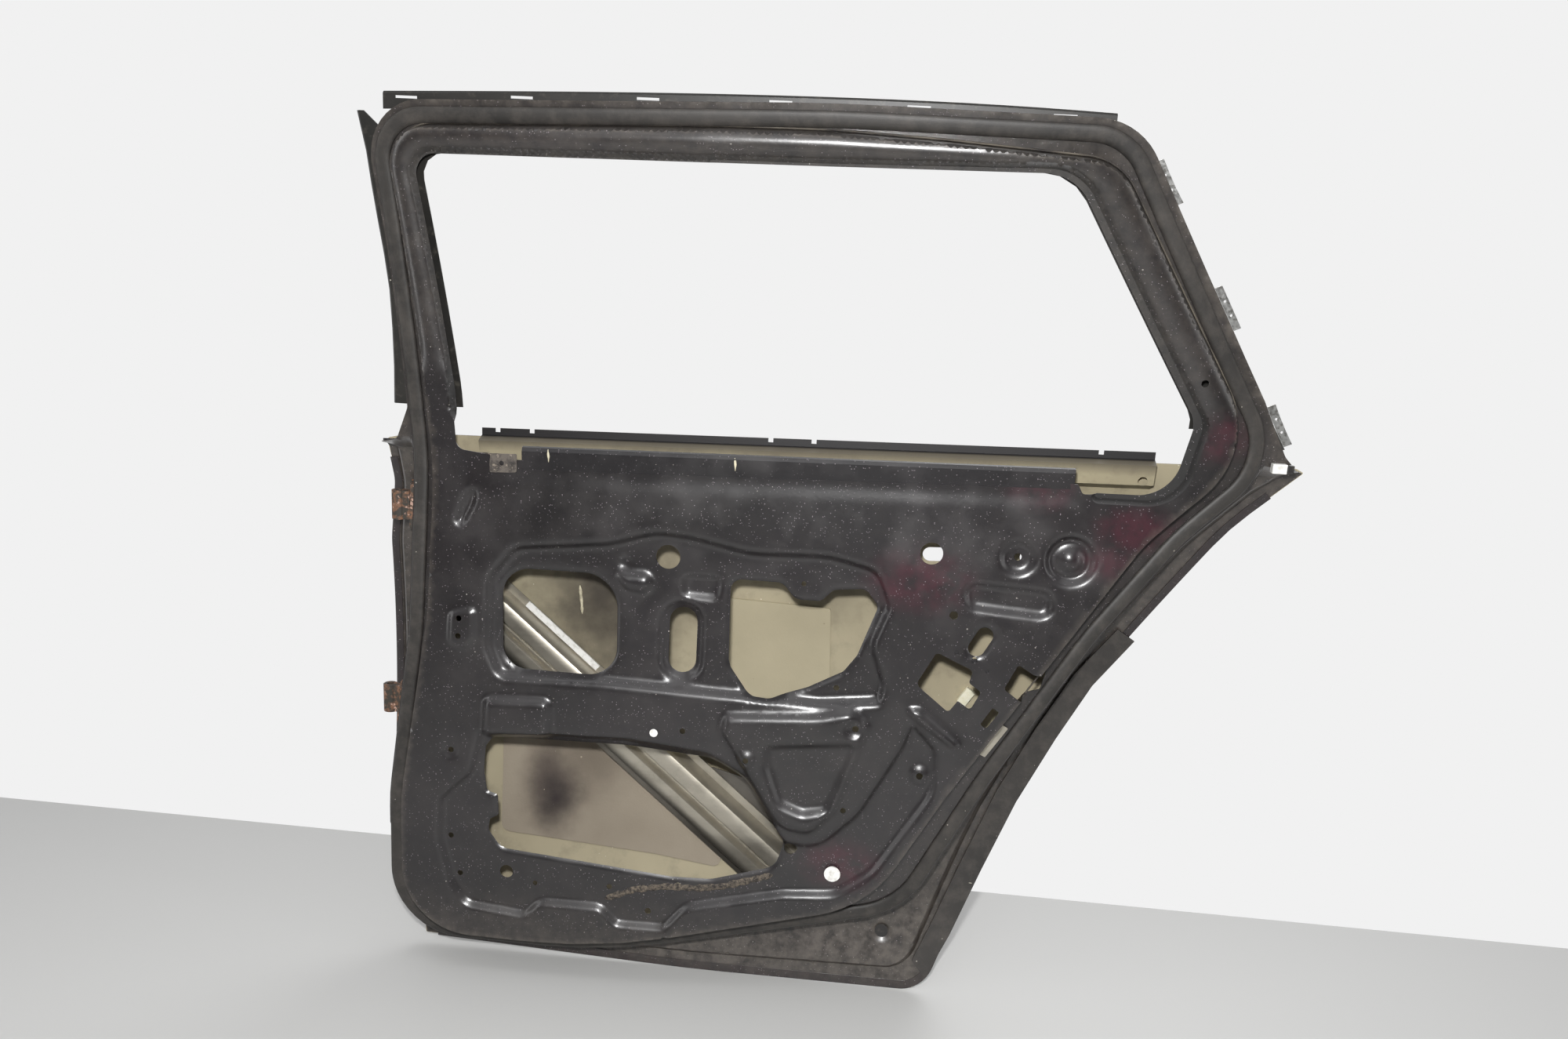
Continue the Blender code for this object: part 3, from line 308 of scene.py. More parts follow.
def inside(pts, loop, reach=None):
    """Signed distance in mm, positive inside; beyond reach of the loop's box it is -reach."""
    p, a = np.atleast_2d(np.array(pts, float)), np.array(loop, float)
    out = np.full(len(p), -1e3 if reach is None else -float(reach))
    near = np.arange(len(p))
    if reach is not None:
        lo, hi = a.min(0) - reach, a.max(0) + reach
        near = np.nonzero(np.all((p > lo) & (p < hi), 1))[0]
    b = np.roll(a, -1, 0)
    e = b - a
    ee = np.maximum(np.sum(e * e, 1), 1e-12)
    for part in np.array_split(near, max(1, len(near) // 3000)):
        if not len(part):
            continue
        w = p[part][:, None, :] - a[None]
        t = np.clip(np.sum(w * e, 2) / ee, 0, 1)
        dist = np.sqrt(np.min(np.sum((w - t[..., None] * e) ** 2, 2), 1))
        z = p[part, 1:2]
        rising, falling = (a[:, 1] <= z) & (b[:, 1] > z), (a[:, 1] > z) & (b[:, 1] <= z)
        side = e[:, 0] * w[..., 1] - e[:, 1] * w[..., 0]
        wind = np.sum(rising & (side > 0), 1) - np.sum(falling & (side < 0), 1)
        out[part] = np.where(wind != 0, dist, -dist)
    return out


def ramp(d, run):
    """Smooth step from 0 at d = 0 to 1 at d = run."""
    t = np.clip(d / run, 0, 1)
    return t * t * (3 - 2 * t)


def spot(x, y, z):
    """A drawn point (mm, x to the rear, z up) at depth y (m) in the door's frame."""
    return Vector(((x - MID_X) * MM, y - MID_Y, (z - LOW_Z) * MM))


def face_y(z):
    """Trim face: near upright below the belt, leaning in above it."""
    z = np.asarray(z, float)
    h = (z - BELT) / 1000
    h = 0.5 * (h + np.sqrt(h * h + 0.0016))
    return 0.020 * np.minimum(z, BELT) / BELT - 0.10 * h - 0.25 * h * h


def skin_y(z):
    """Outer skin: barrel shaped, carried on at the belt's slope above it."""
    z = np.asarray(z, float) / 1000
    h = np.maximum(z - 0.66, 0)
    return 0.135 - 0.39 * (np.minimum(z, 0.66) - 0.38) ** 2 - 0.218 * h - 0.15 * h * h


FACE_LOOP, LAND_LOOP = outline(FACE_EDGE), outline(LAND_EDGE)
HEM_LOOP, EDGE_LOOP = outline(HEM_LINE), outline(HEM_EDGE + FRAME_EDGE)
WINDOW_LOOP, CHANNEL_LOOP = outline(WINDOW), outline(RUN_CHANNEL)
PRESS_LOOPS = [(outline(o), d, r) for o, d, r in PRESSINGS]
PRESS_LOOPS += [(circle(x, z, r, 40), d, w) for x, z, r, d, w in ROUND_PRESSINGS]
PRESS_LOOPS.append((obround(*OBLONG_RIM), 0.0070, 8))
OPEN_LOOPS = [outline(o, 5.0) for o in BIG_HOLES + LATCH_HOLES]
OPEN_LOOPS += [obround(*OBLONG_HOLE), obround(*LATCH_SLOT)]
PUNCHED = [circle(*h) for h in ROUND_HOLES]
ROLLED_RIM, RIM_RUN = 0.0026, 4.0
FRAME_CROWN, FRAME_FROM = 0.0046, 735
FRAME_PITCH, FRAME_ROWS = 2.4, 2.1
RELIEF_PITCH, ROLLED = 2.5, 2.6

# The pressings' depth on a fine grid, blurred so that every edge is rolled as drawn steel is
grid_x, grid_z = np.arange(-20, 1125, RELIEF_PITCH), np.arange(-25, 1085, RELIEF_PITCH)
cells = np.array([(x, z) for z in grid_z for x in grid_x])
relief = sum(depth * ramp(inside(cells, loop, 1), run) for loop, depth, run in PRESS_LOOPS)
relief = relief.reshape(len(grid_z), len(grid_x))
steps = np.arange(-4, 5)
weights = np.exp(-0.5 * (steps * RELIEF_PITCH / ROLLED) ** 2)
for axis in (0, 1):
    relief = sum(w * np.roll(relief, k, axis) for w, k in zip(weights / weights.sum(), steps))


def pressed(p):
    """Depth of the pressings at drawn points, from the grid."""
    u, v = (p[:, 0] - grid_x[0]) / RELIEF_PITCH, (p[:, 1] - grid_z[0]) / RELIEF_PITCH
    i, j = u.astype(int), v.astype(int)
    u, v = u - i, v - j
    return ((relief[j, i] * (1 - u) + relief[j, i + 1] * u) * (1 - v)
            + (relief[j + 1, i] * (1 - u) + relief[j + 1, i + 1] * u) * v)


def hump(t, half):
    """Bell with its top, 1, at t = 0."""
    return np.exp(-(t / half) ** 2)


def panel_y(pts):
    """Depth of the inner panel at drawn points."""
    p = np.atleast_2d(np.array(pts, float))
    x, z = p[:, 0], p[:, 1]
    low = 1 - ramp(z - (BELT + BELT_RISE * x) + 8, 22)
    rim = inside(p, FACE_LOOP)
    y = face_y(z) + FACE_TO_LAND * ramp(-rim, STEP_RUN)
    deep = low * (skin_y(z) - SKIN_GAP) + (1 - low) * (face_y(z) + FACE_TO_LAND)
    y = y + (deep - y) * ramp(-inside(p, LAND_LOOP), STEP_RUN)
    flange = skin_y(z) - HEM_STEP
    y = y + (flange - y) * ramp(-inside(p, HEM_LOOP) + HEM_RUN, HEM_RUN)
    glass = inside(p, CHANNEL_LOOP, 70)
    y = y + CHANNEL_DEPTH * ramp(glass, CHANNEL_RUN)
    # The window frame is crowned across its width, less where it is narrow
    wide = np.maximum(np.clip(rim, 0, 200) - np.minimum(glass, 0), 1)
    across = np.clip(rim, 0, 200) / wide
    upper = ramp(rim + STEP_RUN, STEP_RUN) * (1 - ramp(glass, CHANNEL_RUN))
    upper = upper * ramp(z - FRAME_FROM, 60) * ramp(wide - 4, 24)
    y = y + FRAME_CROWN * (2 * across - 1) ** 2 * upper + pressed(p)
    for loop in OPEN_LOOPS[:3] + OPEN_LOOPS[-2:]:
        y = y + ROLLED_RIM * (1 - ramp(-inside(p, loop, 6), RIM_RUN))
    return y


def thinned(groups):
    """Points of each (points, spacing) group that keep their spacing from all before."""
    cells, kept = {}, []
    for pts, gap in groups:
        for x, z in pts:
            cx, cz = int(x // 4), int(z // 4)
            reach = range(-2, 3) if gap > 4 else range(-1, 2)
            close = any((x - a) ** 2 + (z - b) ** 2 < gap * gap
                        for i in reach for j in reach
                        for a, b in cells.get((cx + i, cz + j), ()))
            if not close:
                cells.setdefault((cx, cz), []).append((x, z))
                kept.append((x, z))
    return kept


def blank(border, holes, rings, pitch):
    """Flat blank in fine triangles, with points on the rings and a grid between."""
    edge = [np.array(loop) for loop in [border, *holes]]
    low, high = np.min(edge[0], 0), np.max(edge[0], 0)
    xs, zs = np.arange(low[0], high[0], pitch), np.arange(low[1], high[1], pitch * 0.866)
    grid = [(x + (pitch / 2 if j % 2 else 0), z) for j, z in enumerate(zs) for x in xs]
    fixed = [tuple(p) for loop in edge for p in loop]
    line = [p for ring in rings for p in ring]
    free = thinned([(fixed, 0.0), (line, 1.5), (grid, pitch * 0.62)])[len(fixed):]
    keep = inside(free, border) > 0.6
    for loop in holes:
        keep &= inside(free, loop, 5) < -0.6
    verts, edges = [], []
    for loop in edge:
        n = len(verts)
        verts += [Vector(p) for p in loop]
        edges += [(n + i, n + (i + 1) % len(loop)) for i in range(len(loop))]
    verts += [Vector(p) for p, k in zip(free, keep) if k]
    v, _, f, *_ = geometry.delaunay_2d_cdt(verts, edges, [], 0, 0.02)
    v = np.array([tuple(p) for p in v])
    f = np.array([t for t in f if len(t) == 3])
    mid = v[f].mean(1)
    ok = inside(mid, border) > 0.005
    for loop in holes:
        ok &= inside(mid, loop, 5) < -0.005
    f = f[ok][:, ::-1]
    used = np.unique(f)
    new = np.full(len(v), -1)
    new[used] = np.arange(len(used))
    return v[used], new[f]


def piece(name, verts, faces, mats, values=None):
    """Object from vertices in metres, shaded smooth, with named values at its points."""
    me = bpy.data.meshes.new(name)
    me.from_pydata([tuple(p) for p in verts], [], [tuple(t) for t in faces])
    for m in mats:
        me.materials.append(m)
    for key, data in (values or {}).items():
        me.attributes.new(key, "FLOAT", "POINT").data.foreach_set("value", list(data))
    me.shade_smooth()
    ob = bpy.data.objects.new(name, me)
    bpy.context.scene.collection.objects.link(ob)
    return ob


def outward(ob):
    """Turns the faces of a closed piece outward."""
    bm = bmesh.new()
    bm.from_mesh(ob.data)
    bmesh.ops.recalc_face_normals(bm, faces=bm.faces)
    bm.to_mesh(ob.data)
    bm.free()
    return ob


def thickened(ob, thickness, offset=0.0, inner=0, rim=0, sharp=35.0):
    """Gives the sheet its thickness and applies it; the other side and the rim may differ."""
    m = ob.modifiers.new("thickness", "SOLIDIFY")
    m.thickness = thickness
    m.offset = offset
    m.material_offset = inner
    m.material_offset_rim = rim
    bpy.ops.object.select_all(action="DESELECT")
    ob.select_set(True)
    bpy.context.view_layer.objects.active = ob
    bpy.ops.object.modifier_apply(modifier="thickness")
    bpy.ops.object.shade_smooth_by_angle(angle=math.radians(sharp))
    ob.select_set(False)
    return ob


def fitted(ob, slot, *nodes):
    """Rides on the door and stands for these nodes, which it hides; the slot is not used."""
    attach(ob, "root")
    if nodes:
        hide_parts(*nodes)
    return ob


def specks(tree, place, cell, radius, share):
    """Round specks: one cell in 1/share holds a speck of about this radius (mm)."""
    cells = node(tree, "ShaderNodeTexVoronoi", {"Vector": place, "Scale": 1000.0 / cell})
    odd = node(tree, "ShaderNodeSeparateColor", {0: cells.outputs["Color"]})
    some = node(tree, "ShaderNodeMath", {0: odd.outputs[0], 1: 1.0 - share},
                operation="GREATER_THAN")
    size = node(tree, "ShaderNodeMath", {0: odd.outputs[1], 1: radius / cell, 2: 0.3 * radius / cell},
                operation="MULTIPLY_ADD")
    near = node(tree, "ShaderNodeMath", {0: cells.outputs["Distance"], 1: size.outputs[0]},
                operation="LESS_THAN")
    both = node(tree, "ShaderNodeMath", {0: some.outputs[0], 1: near.outputs[0]},
                operation="MULTIPLY")
    return both.outputs[0]


def clouds(tree, place, size, low, high, detail=4.0, rough=0.55):
    """Soft patches of about this size (mm), 0 below the low value and 1 above the high."""
    n = node(tree, "ShaderNodeTexNoise", {"Vector": place, "Scale": 1000.0 / size,
                                          "Detail": detail, "Roughness": rough})
    r = node(tree, "ShaderNodeMapRange", {0: n.outputs["Fac"], 1: low, 2: high, 3: 0.0, 4: 1.0})
    return r.outputs[0]


def mixed(tree, amount, a, b):
    """Colour a where amount is 0, b where it is 1."""
    return node(tree, "ShaderNodeMix", {0: amount, 6: a, 7: b}, data_type="RGBA").outputs[2]


def scaled(tree, value, factor):
    """Value times factor."""
    return node(tree, "ShaderNodeMath", {0: value, 1: factor}, operation="MULTIPLY").outputs[0]


def grained(tree, shader, place, scale, strength, depth, detail=2.0):
    """Fine uneven surface: noise with this many features a metre, as a bump this deep (m)."""
    grain = node(tree, "ShaderNodeTexNoise", {"Vector": place, "Scale": scale, "Detail": detail})
    bump = node(tree, "ShaderNodeBump", {"Height": grain.outputs["Fac"], "Strength": strength,
                                         "Distance": depth})
    tree.links.new(bump.outputs[0], shader.inputs["Normal"])


# Two-stage acrylic paint over primer, aged: a near black with a plum pearl below clear
# coat, with its flakes' sparkle painted in as light specks (painted glints), scuffs,
# grey-brown dust that also carries a painted highlight along the trim face's edge, plum
# where "plum" is, and painted shade in the window's run channel, dull black.
plum_paint, shader, tree, place = finish_of("plum_pearl_paint", Coat_Weight=0.42,
                                            Coat_Roughness=0.25, Specular_IOR_Level=0.7)
dust_and_edge_highlight = node(tree, "ShaderNodeAttribute", attribute_name="dust_and_edge_highlight").outputs["Fac"]
plum = node(tree, "ShaderNodeAttribute", attribute_name="plum").outputs["Fac"]
base = mixed(tree, clouds(tree, place, 240, 0.35, 0.65), colour("#110f11"), colour("#191518"))
ragged = node(tree, "ShaderNodeMath", {0: plum, 1: clouds(tree, place, 18, 0.30, 0.62, 6.0)},
              operation="MULTIPLY").outputs[0]
tinted = mixed(tree, ragged, base, colour("#38131f"))
# Painted shade: the window's run channel is made dull black in the colour, its gloss dulled
channel_shade = node(tree, "ShaderNodeAttribute", attribute_name="channel_shade").outputs["Fac"]
tinted = mixed(tree, channel_shade, tinted, colour("#0d0c0d"))
# Pearl flakes: their sparkle is painted in as light specks of colour, painted glints
flake_glints = mixed(tree, specks(tree, place, 1.7, 0.42, 0.16), tinted, colour("#857d82"))
film = scaled(tree, clouds(tree, place, 60, 0.45, 0.80, 6.0), 0.22)
filmed = mixed(tree, film, flake_glints, colour("#3f3a38"))
# The dust colour also lightens the trim face's edge, partly as wear, partly as a painted highlight
dust_and_highlight_mask = node(tree, "ShaderNodeMath", {0: dust_and_edge_highlight, 1: clouds(tree, place, 14, 0.25, 0.7, 8.0, 0.7)},
             operation="MULTIPLY").outputs[0]
dust_and_highlight_tone = mixed(tree, dust_and_highlight_mask, filmed, colour("#6f675e"))
grains = mixed(tree, specks(tree, place, 9, 0.7, 0.30), dust_and_highlight_tone, colour("#8f8a84"))
chips = mixed(tree, specks(tree, place, 44, 1.5, 0.20), grains, colour("#cfc9c1"))
painted(tree, shader, chips)
rough = node(tree, "ShaderNodeMapRange", {0: film, 1: 0.0, 2: 0.22, 3: 0.30, 4: 0.5}).outputs[0]
rough = node(tree, "ShaderNodeMath", {0: rough, 1: dust_and_highlight_mask}, operation="MAXIMUM").outputs[0]
rough = node(tree, "ShaderNodeMath", {0: rough, 1: scaled(tree, channel_shade, 0.7)},
             operation="MAXIMUM").outputs[0]
tree.links.new(rough, shader.inputs["Roughness"])
grained(tree, shader, place, 220.0, 0.14, 0.0006, 3.0)

# Where the plum shows through the sprayed black: x, z, reach (drawn mm)
PLUM_PATCHES = [(900, 632, 46), (672, 556, 62), (795, 673, 40), (986, 742, 45), (597, 190, 50),
                (930, 622, 40), (873, 592, 34), (640, 545, 40)]
edge = shifted(EDGE_LOOP, -FOLD_INSET)
rings = [shifted(FACE_LOOP, d) for d in (0, -1, 1.7, 3.5, 5.3, 7, 10)]
rings += [shifted(LAND_LOOP, d) for d in (-3, 0, 1.7, 3.5, 5.3, 7, 10)]
rings += [shifted(HEM_LOOP, d) for d in (0, -2.2, -4.5, -6.8, -9)]
rings += [shifted(CHANNEL_LOOP, d) for d in (2, 0, -1.6, -3.4, -5, -8)]
# The crowned frame takes an even fine grid, so that its gloss runs without breaks
fine = np.array([(x + FRAME_PITCH / 2 * (j % 2), z)
                 for j, z in enumerate(np.arange(FRAME_FROM, 1040, FRAME_ROWS))
                 for x in np.arange(40, 1030, FRAME_PITCH)])
fine = fine[(inside(fine, FACE_LOOP) > 0.8) & (inside(fine, CHANNEL_LOOP) < 1)]
rings.append([tuple(p) for p in fine])
for loop, _, run in PRESS_LOOPS:
    rings += [shifted(loop, -run * t) for t in (-0.6, -0.25, 0, 0.2, 0.4, 0.6, 0.8, 1,
                                                1.3, 1.7)]
for loop in OPEN_LOOPS[:3] + OPEN_LOOPS[-2:]:
    rings += [shifted(loop, d) for d in (1.2, 2.4, 3.6, 6)]
flat, faces = blank(edge, [WINDOW_LOOP] + OPEN_LOOPS + PUNCHED, rings, FINE_GRID)
depth = panel_y(flat)
beyond = np.clip(-inside(flat, LAND_LOOP) / 10, 0, 1)
beside = np.clip(-inside(flat, FACE_LOOP) / 6, 0, 1)
low_dust = np.clip((120 - flat[:, 1]) / 200, 0, 0.35)
# A narrow lighter line along the trim face's edge: partly wear, partly a painted highlight of the
# rolled edge
edge_wear_and_highlight = 0.45 * hump(inside(flat, FACE_LOOP) - 0.4, 1.3)
frame_dust = 0.20 * ramp(flat[:, 1] - FRAME_FROM, 100)
dust_and_edge_highlight_value = 0.04 + 0.38 * beyond + 0.12 * beside + 0.7 * low_dust + edge_wear_and_highlight + frame_dust
dust_and_edge_highlight_value = np.clip(dust_and_edge_highlight_value, 0, 0.7)
plum_value = np.zeros(len(flat))
for x, z, reach in PLUM_PATCHES:
    away = np.hypot(flat[:, 0] - x, (flat[:, 1] - z) * 1.5)
    plum_value = np.maximum(plum_value, 1 - ramp(away - reach * 0.3, reach))
# The panel's values: dust with a painted highlight along the trim face's edge, plum, and the run
# channel's painted shade
panel = piece("pressed_inner_panel", [spot(p[0], d, p[1]) for p, d in zip(flat, depth)],
              faces, [plum_paint],
              {"dust_and_edge_highlight": dust_and_edge_highlight_value, "plum": plum_value,
               "channel_shade": ramp(inside(flat, CHANNEL_LOOP, 12) + 1, 3)})
thickened(panel, SHEET)
fitted(panel, "body_paint", "inner_panel")

# Outer skin
# Deep-drawn steel panel, 0.9 mm, barrel shaped, with the outer handle's finger recess;
# its edge is folded round the inner panel's flange. Painted outside, primer inside.
HEM_LAP = 9.0
HANDLE_RECESS = (742, 566, 180, 66, 3)
HANDLE_OPENINGS = [(686, 565, 30, 18, 3), (800, 570, 24, 20, 3)]
HANDLE_DEPTH, HANDLE_RUN = 0.014, 15
SKIN_GRID = 13.0
HEM_BELT, SILL_NOTCH, REAR_TIP = 640, (58, 52), 1072
SKIN_TOP = [(1092, 702, 6), (30, 672, 8)]

# Beige electro-coat primer, flat and slightly chalky, with soot-dark stains where the
# sound pads were warmed on and soft runs of dirt.
beige_primer, shader, tree, place = finish_of("beige_primer", Roughness=0.62)
tone = mixed(tree, clouds(tree, place, 160, 0.3, 0.7), colour("#bbb195"), colour("#a69b82"))
tone = mixed(tree, scaled(tree, clouds(tree, place, 30, 0.5, 0.8, 7.0, 0.65), 0.45), tone,
             colour("#6e675a"))


def soot(tree, place, colour_in, x, z, size, tall=1.0, dark="#2b2826"):
    """Dark stain at a drawn point (mm) of this size, stretched upward by tall, ragged."""
    away = node(tree, "ShaderNodeVectorMath", {0: place, 1: spot(x, 0.12, z)}, operation="SUBTRACT")
    flat_way = node(tree, "ShaderNodeVectorMath", {0: away.outputs[0], 1: (1, 0, 1 / tall)},
                    operation="MULTIPLY")
    far = node(tree, "ShaderNodeVectorMath", {0: flat_way.outputs[0]}, operation="LENGTH")
    ragged = node(tree, "ShaderNodeMath", {0: clouds(tree, place, 45, 0.2, 0.8, 5.0), 1: size * 0.0006,
                                           2: far.outputs["Value"]}, operation="MULTIPLY_ADD")
    fade = node(tree, "ShaderNodeMapRange", {0: ragged.outputs[0], 1: size * 0.0002,
                                             2: size * 0.0018, 3: 0.92, 4: 0.0},
                interpolation_type="SMOOTHSTEP")
    return mixed(tree, fade.outputs[0], colour_in, colour(dark))


tone = soot(tree, place, tone, 268, 468, 110, 1.4, "#2f2826")
tone = soot(tree, place, tone, 560, 520, 60, 1.0, "#7d7562")
painted(tree, shader, mixed(tree, specks(tree, place, 9, 0.8, 0.15), tone, colour("#d8d2bf")))

recess = obround(*HANDLE_RECESS, 20)
skin_edge = shifted(outline(HEM_EDGE + SKIN_TOP), -0.4)
skin_holes = [obround(*o, 10) for o in HANDLE_OPENINGS]
skin_rings = [shifted(recess, -HANDLE_RUN * t)
              for t in (-0.3, 0, 0.15, 0.3, 0.5, 0.7, 0.85, 1, 1.3, 1.7)]
skin_rings += [shifted(skin_edge, d) for d in (-4, -10)]
skin_flat, skin_faces = blank(skin_edge, skin_holes, skin_rings, SKIN_GRID)
skin_depth = skin_y(skin_flat[:, 1])
skin_depth = skin_depth - HANDLE_DEPTH * ramp(inside(skin_flat, recess, 1), HANDLE_RUN)
verts = [spot(p[0], d, p[1]) for p, d in zip(skin_flat, skin_depth)]
faces = [tuple(t) for t in skin_faces]
loop = np.array(skin_edge)
ring_normal = loop - np.array(shifted(skin_edge, -1.0))
# The fold in section: out from the edge (mm), and in from the skin (in hem steps)
profile = [(0.35, 0.18), (0.4, 1.0), (0.35, 1.82), (-0.6, 2.0), (-HEM_LAP, 2.0)]


def hemmed(x, z):
    """True where the skin is folded: front, sill and wheel arch, not belt or notch."""
    at_notch = x < SILL_NOTCH[0] and z < SILL_NOTCH[1]
    return not (z > HEM_BELT + BELT_RISE * x or at_notch or x > REAR_TIP)


row = {}
for i, (x, z) in enumerate(loop):
    if not hemmed(x, z):
        continue
    row[i] = [int(np.argmin(np.sum((skin_flat - loop[i]) ** 2, 1)))]
    for out, drop in profile:
        q = (x + ring_normal[i][0] * out, z + ring_normal[i][1] * out)
        row[i].append(len(verts))
        verts.append(spot(q[0], float(skin_y(q[1])) - drop * HEM_STEP, q[1]))
area = np.sum(loop[:, 0] * np.roll(loop[:, 1], -1) - np.roll(loop[:, 0], -1) * loop[:, 1])
for i in row:
    j = (i + 1) % len(loop)
    if j not in row:
        continue
    for k in range(len(profile)):
        quad = (row[i][k], row[j][k], row[j][k + 1], row[i][k + 1])
        faces.append(quad if area > 0 else quad[::-1])
skin_points = np.array([tuple(v) for v in verts])
skin_dust = np.clip(0.22 + (0.25 - skin_points[:, 2]) * 0.8, 0.12, 0.4)
skin = piece("painted_outer_skin", verts, faces, [plum_paint, beige_primer],
             {"dust_and_edge_highlight": skin_dust * 0.7, "plum": np.full(len(verts), 0.18)})
bpy.context.view_layer.objects.active = skin
skin.select_set(True)
bpy.ops.object.mode_set(mode="EDIT")
bpy.ops.mesh.select_all(action="SELECT")
bpy.ops.mesh.normals_make_consistent(inside=False)
bpy.ops.object.mode_set(mode="OBJECT")
if sum(p.normal.y for p in skin.data.polygons) < 0:
    skin.data.flip_normals()
thickened(skin, SHEET, inner=1, rim=0)
fitted(skin, "body_paint", "outer_skin")

# Weather seal
# Extruded EPDM strip glued on the door's step all round; matt dark grey, gone dusty,
# with soft rounded edges.
SEAL_OUT, SEAL_IN, SEAL_HEIGHT, SEAL_GAP = -1.5, -18.5, 0.0042, 0.0005
rubber, shader, tree, place = finish_of("epdm_rubber", Roughness=0.5)
grey = mixed(tree, clouds(tree, place, 90, 0.3, 0.7), colour("#2a2826"), colour("#3b3835"))
grey = mixed(tree, scaled(tree, clouds(tree, place, 22, 0.45, 0.8, 8.0, 0.7), 0.6), grey,
             colour("#5d5751"))
drawn_out = node(tree, "ShaderNodeMapping", {"Vector": place, "Scale": (0.25, 1.0, 1.0)}).outputs[0]
scuffs = mixed(tree, specks(tree, drawn_out, 14, 0.8, 0.12), grey, colour("#a8a294"))
painted(tree, shader, mixed(tree, specks(tree, place, 10, 0.8, 0.16), scuffs, colour("#a9a399")))
grained(tree, shader, place, 900.0, 0.3, 0.0004, 4.0)
# The strip in section: shares of its width and height
ROUNDED = [(0.0, 0.0), (0.0, 0.35), (0.04, 0.58), (0.12, 0.80), (0.25, 0.94), (0.40, 1.0),
           (0.60, 1.0), (0.75, 0.94), (0.88, 0.80), (0.96, 0.58), (1.0, 0.35), (1.0, 0.0),
           (0.5, 0.0)]


def band(name, path, out, width, y_at, height, mats, section=ROUNDED):
    """Closed strip along a closed path: out is its outer offset, y_at its back's depth."""
    rings = [np.array(shifted(path, out - s * width)) for s, _ in section]
    n, m, verts = len(path), len(section), []
    for i in range(n):
        for k in range(m):
            x, z = rings[k][i]
            verts.append(spot(x, y_at(z) - section[k][1] * height, z))
    faces = [(i * m + k, i * m + (k + 1) % m, (i + 1) % n * m + (k + 1) % m, (i + 1) % n * m + k)
             for i in range(n) for k in range(m)]
    return outward(piece(name, verts, faces, mats))


def land_front(z):
    """Depth (m) of the seal's back, just clear of the land's paint."""
    return float(face_y(z)) + FACE_TO_LAND - SHEET / 2 - SEAL_GAP


seal = band("door_seal", LAND_LOOP, SEAL_OUT, SEAL_OUT - SEAL_IN, land_front, SEAL_HEIGHT,
            [rubber])
fitted(seal, "seal_rubber", "perimeter_seal")
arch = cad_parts["wheel_arch_edge_strip"]
arch.data.materials.clear()
arch.data.materials.append(rubber)

# Sealer in the step
# A thin bead of beige seam sealer, laid by hand in the foot of the step between the
# trim face and the seal, uneven and partly dirty.
sealer, shader, tree, place = finish_of("seam_sealer", Roughness=0.7)
tone = mixed(tree, clouds(tree, place, 40, 0.35, 0.65, 6.0), colour("#2f2b29"), colour("#665f54"))
painted(tree, shader, tone)
BEAD_OUT, BEAD_WIDTH, BEAD_HEIGHT = 9.2, 2.0, 0.0016
CLEARANCE = 0.0002
bead = band("step_sealer_bead", FACE_LOOP, BEAD_OUT, BEAD_WIDTH,
            lambda z: float(face_y(z)) + FACE_TO_LAND - SHEET / 2 - CLEARANCE, BEAD_HEIGHT,
            [sealer])
fitted(bead, "beige_primer")


# Side impact beam
# Hat section with two crowns, pressed from coated high-strength steel and spot-welded
# to a plate at each end; dull silver, streaked along its length, with painted shade on its lower side.
BEAM_A, BEAM_B = Vector((84, 486)), Vector((532, 116))
BEAM_HALF, BEAM_DEPTH, BEAM_ROWS = 42.0, 0.022, 48
BEAM_SHEET, BEAM_TO_SKIN = 0.0016, 0.0140
# Section: VALLEY and CROWN_FALL are shares of its height, the others of its half width
WALL_FROM, WALL_RUN = 0.60, 0.17
VALLEY, VALLEY_FROM, VALLEY_RUN = 0.50, 0.04, 0.13
CROWN_FALL, CROWN_FROM, CROWN_RUN = 0.14, 0.36, 0.3
beam_dir = (BEAM_B - BEAM_A).normalized()
beam_side = Vector((-beam_dir.y, beam_dir.x))

steel, shader, tree, place = finish_of("zinc_coated_steel", Metallic=0.8)
along = node(tree, "ShaderNodeMapping", {"Vector": place, "Rotation": (0, math.radians(-39.6), 0),
                                         "Scale": (1.0, 1.0, 9.0)}).outputs[0]
tone = mixed(tree, clouds(tree, along, 160, 0.3, 0.7), colour("#c4beb0"), colour("#b2ac9f"))
tone = mixed(tree, scaled(tree, clouds(tree, place, 28, 0.5, 0.8, 7.0, 0.65), 0.45), tone,
             colour("#7a7468"))
# Painted shade: the beam's lower side is darkened in the colour
underside_shade = node(tree, "ShaderNodeAttribute", attribute_name="shaded_underside").outputs["Fac"]
tone = mixed(tree, underside_shade, tone, colour("#5a5650"))
painted(tree, shader, tone)
rough = node(tree, "ShaderNodeMapRange", {0: clouds(tree, along, 30, 0.2, 0.8), 1: 0.0, 2: 1.0,
                                          3: 0.34, 4: 0.46}).outputs[0]
tree.links.new(rough, shader.inputs["Roughness"])


def hat(s):
    """Height of the beam's section, 0 to 1, from its middle (s = 0) to its edge (s = 1)."""
    s = abs(s)
    wall = 1 - float(ramp(s - WALL_FROM, WALL_RUN))
    valley = VALLEY * (1 - float(ramp(s - VALLEY_FROM, VALLEY_RUN)))
    return wall * (1 - CROWN_FALL * max(0.0, (s - CROWN_FROM) / CROWN_RUN) ** 2 - valley)


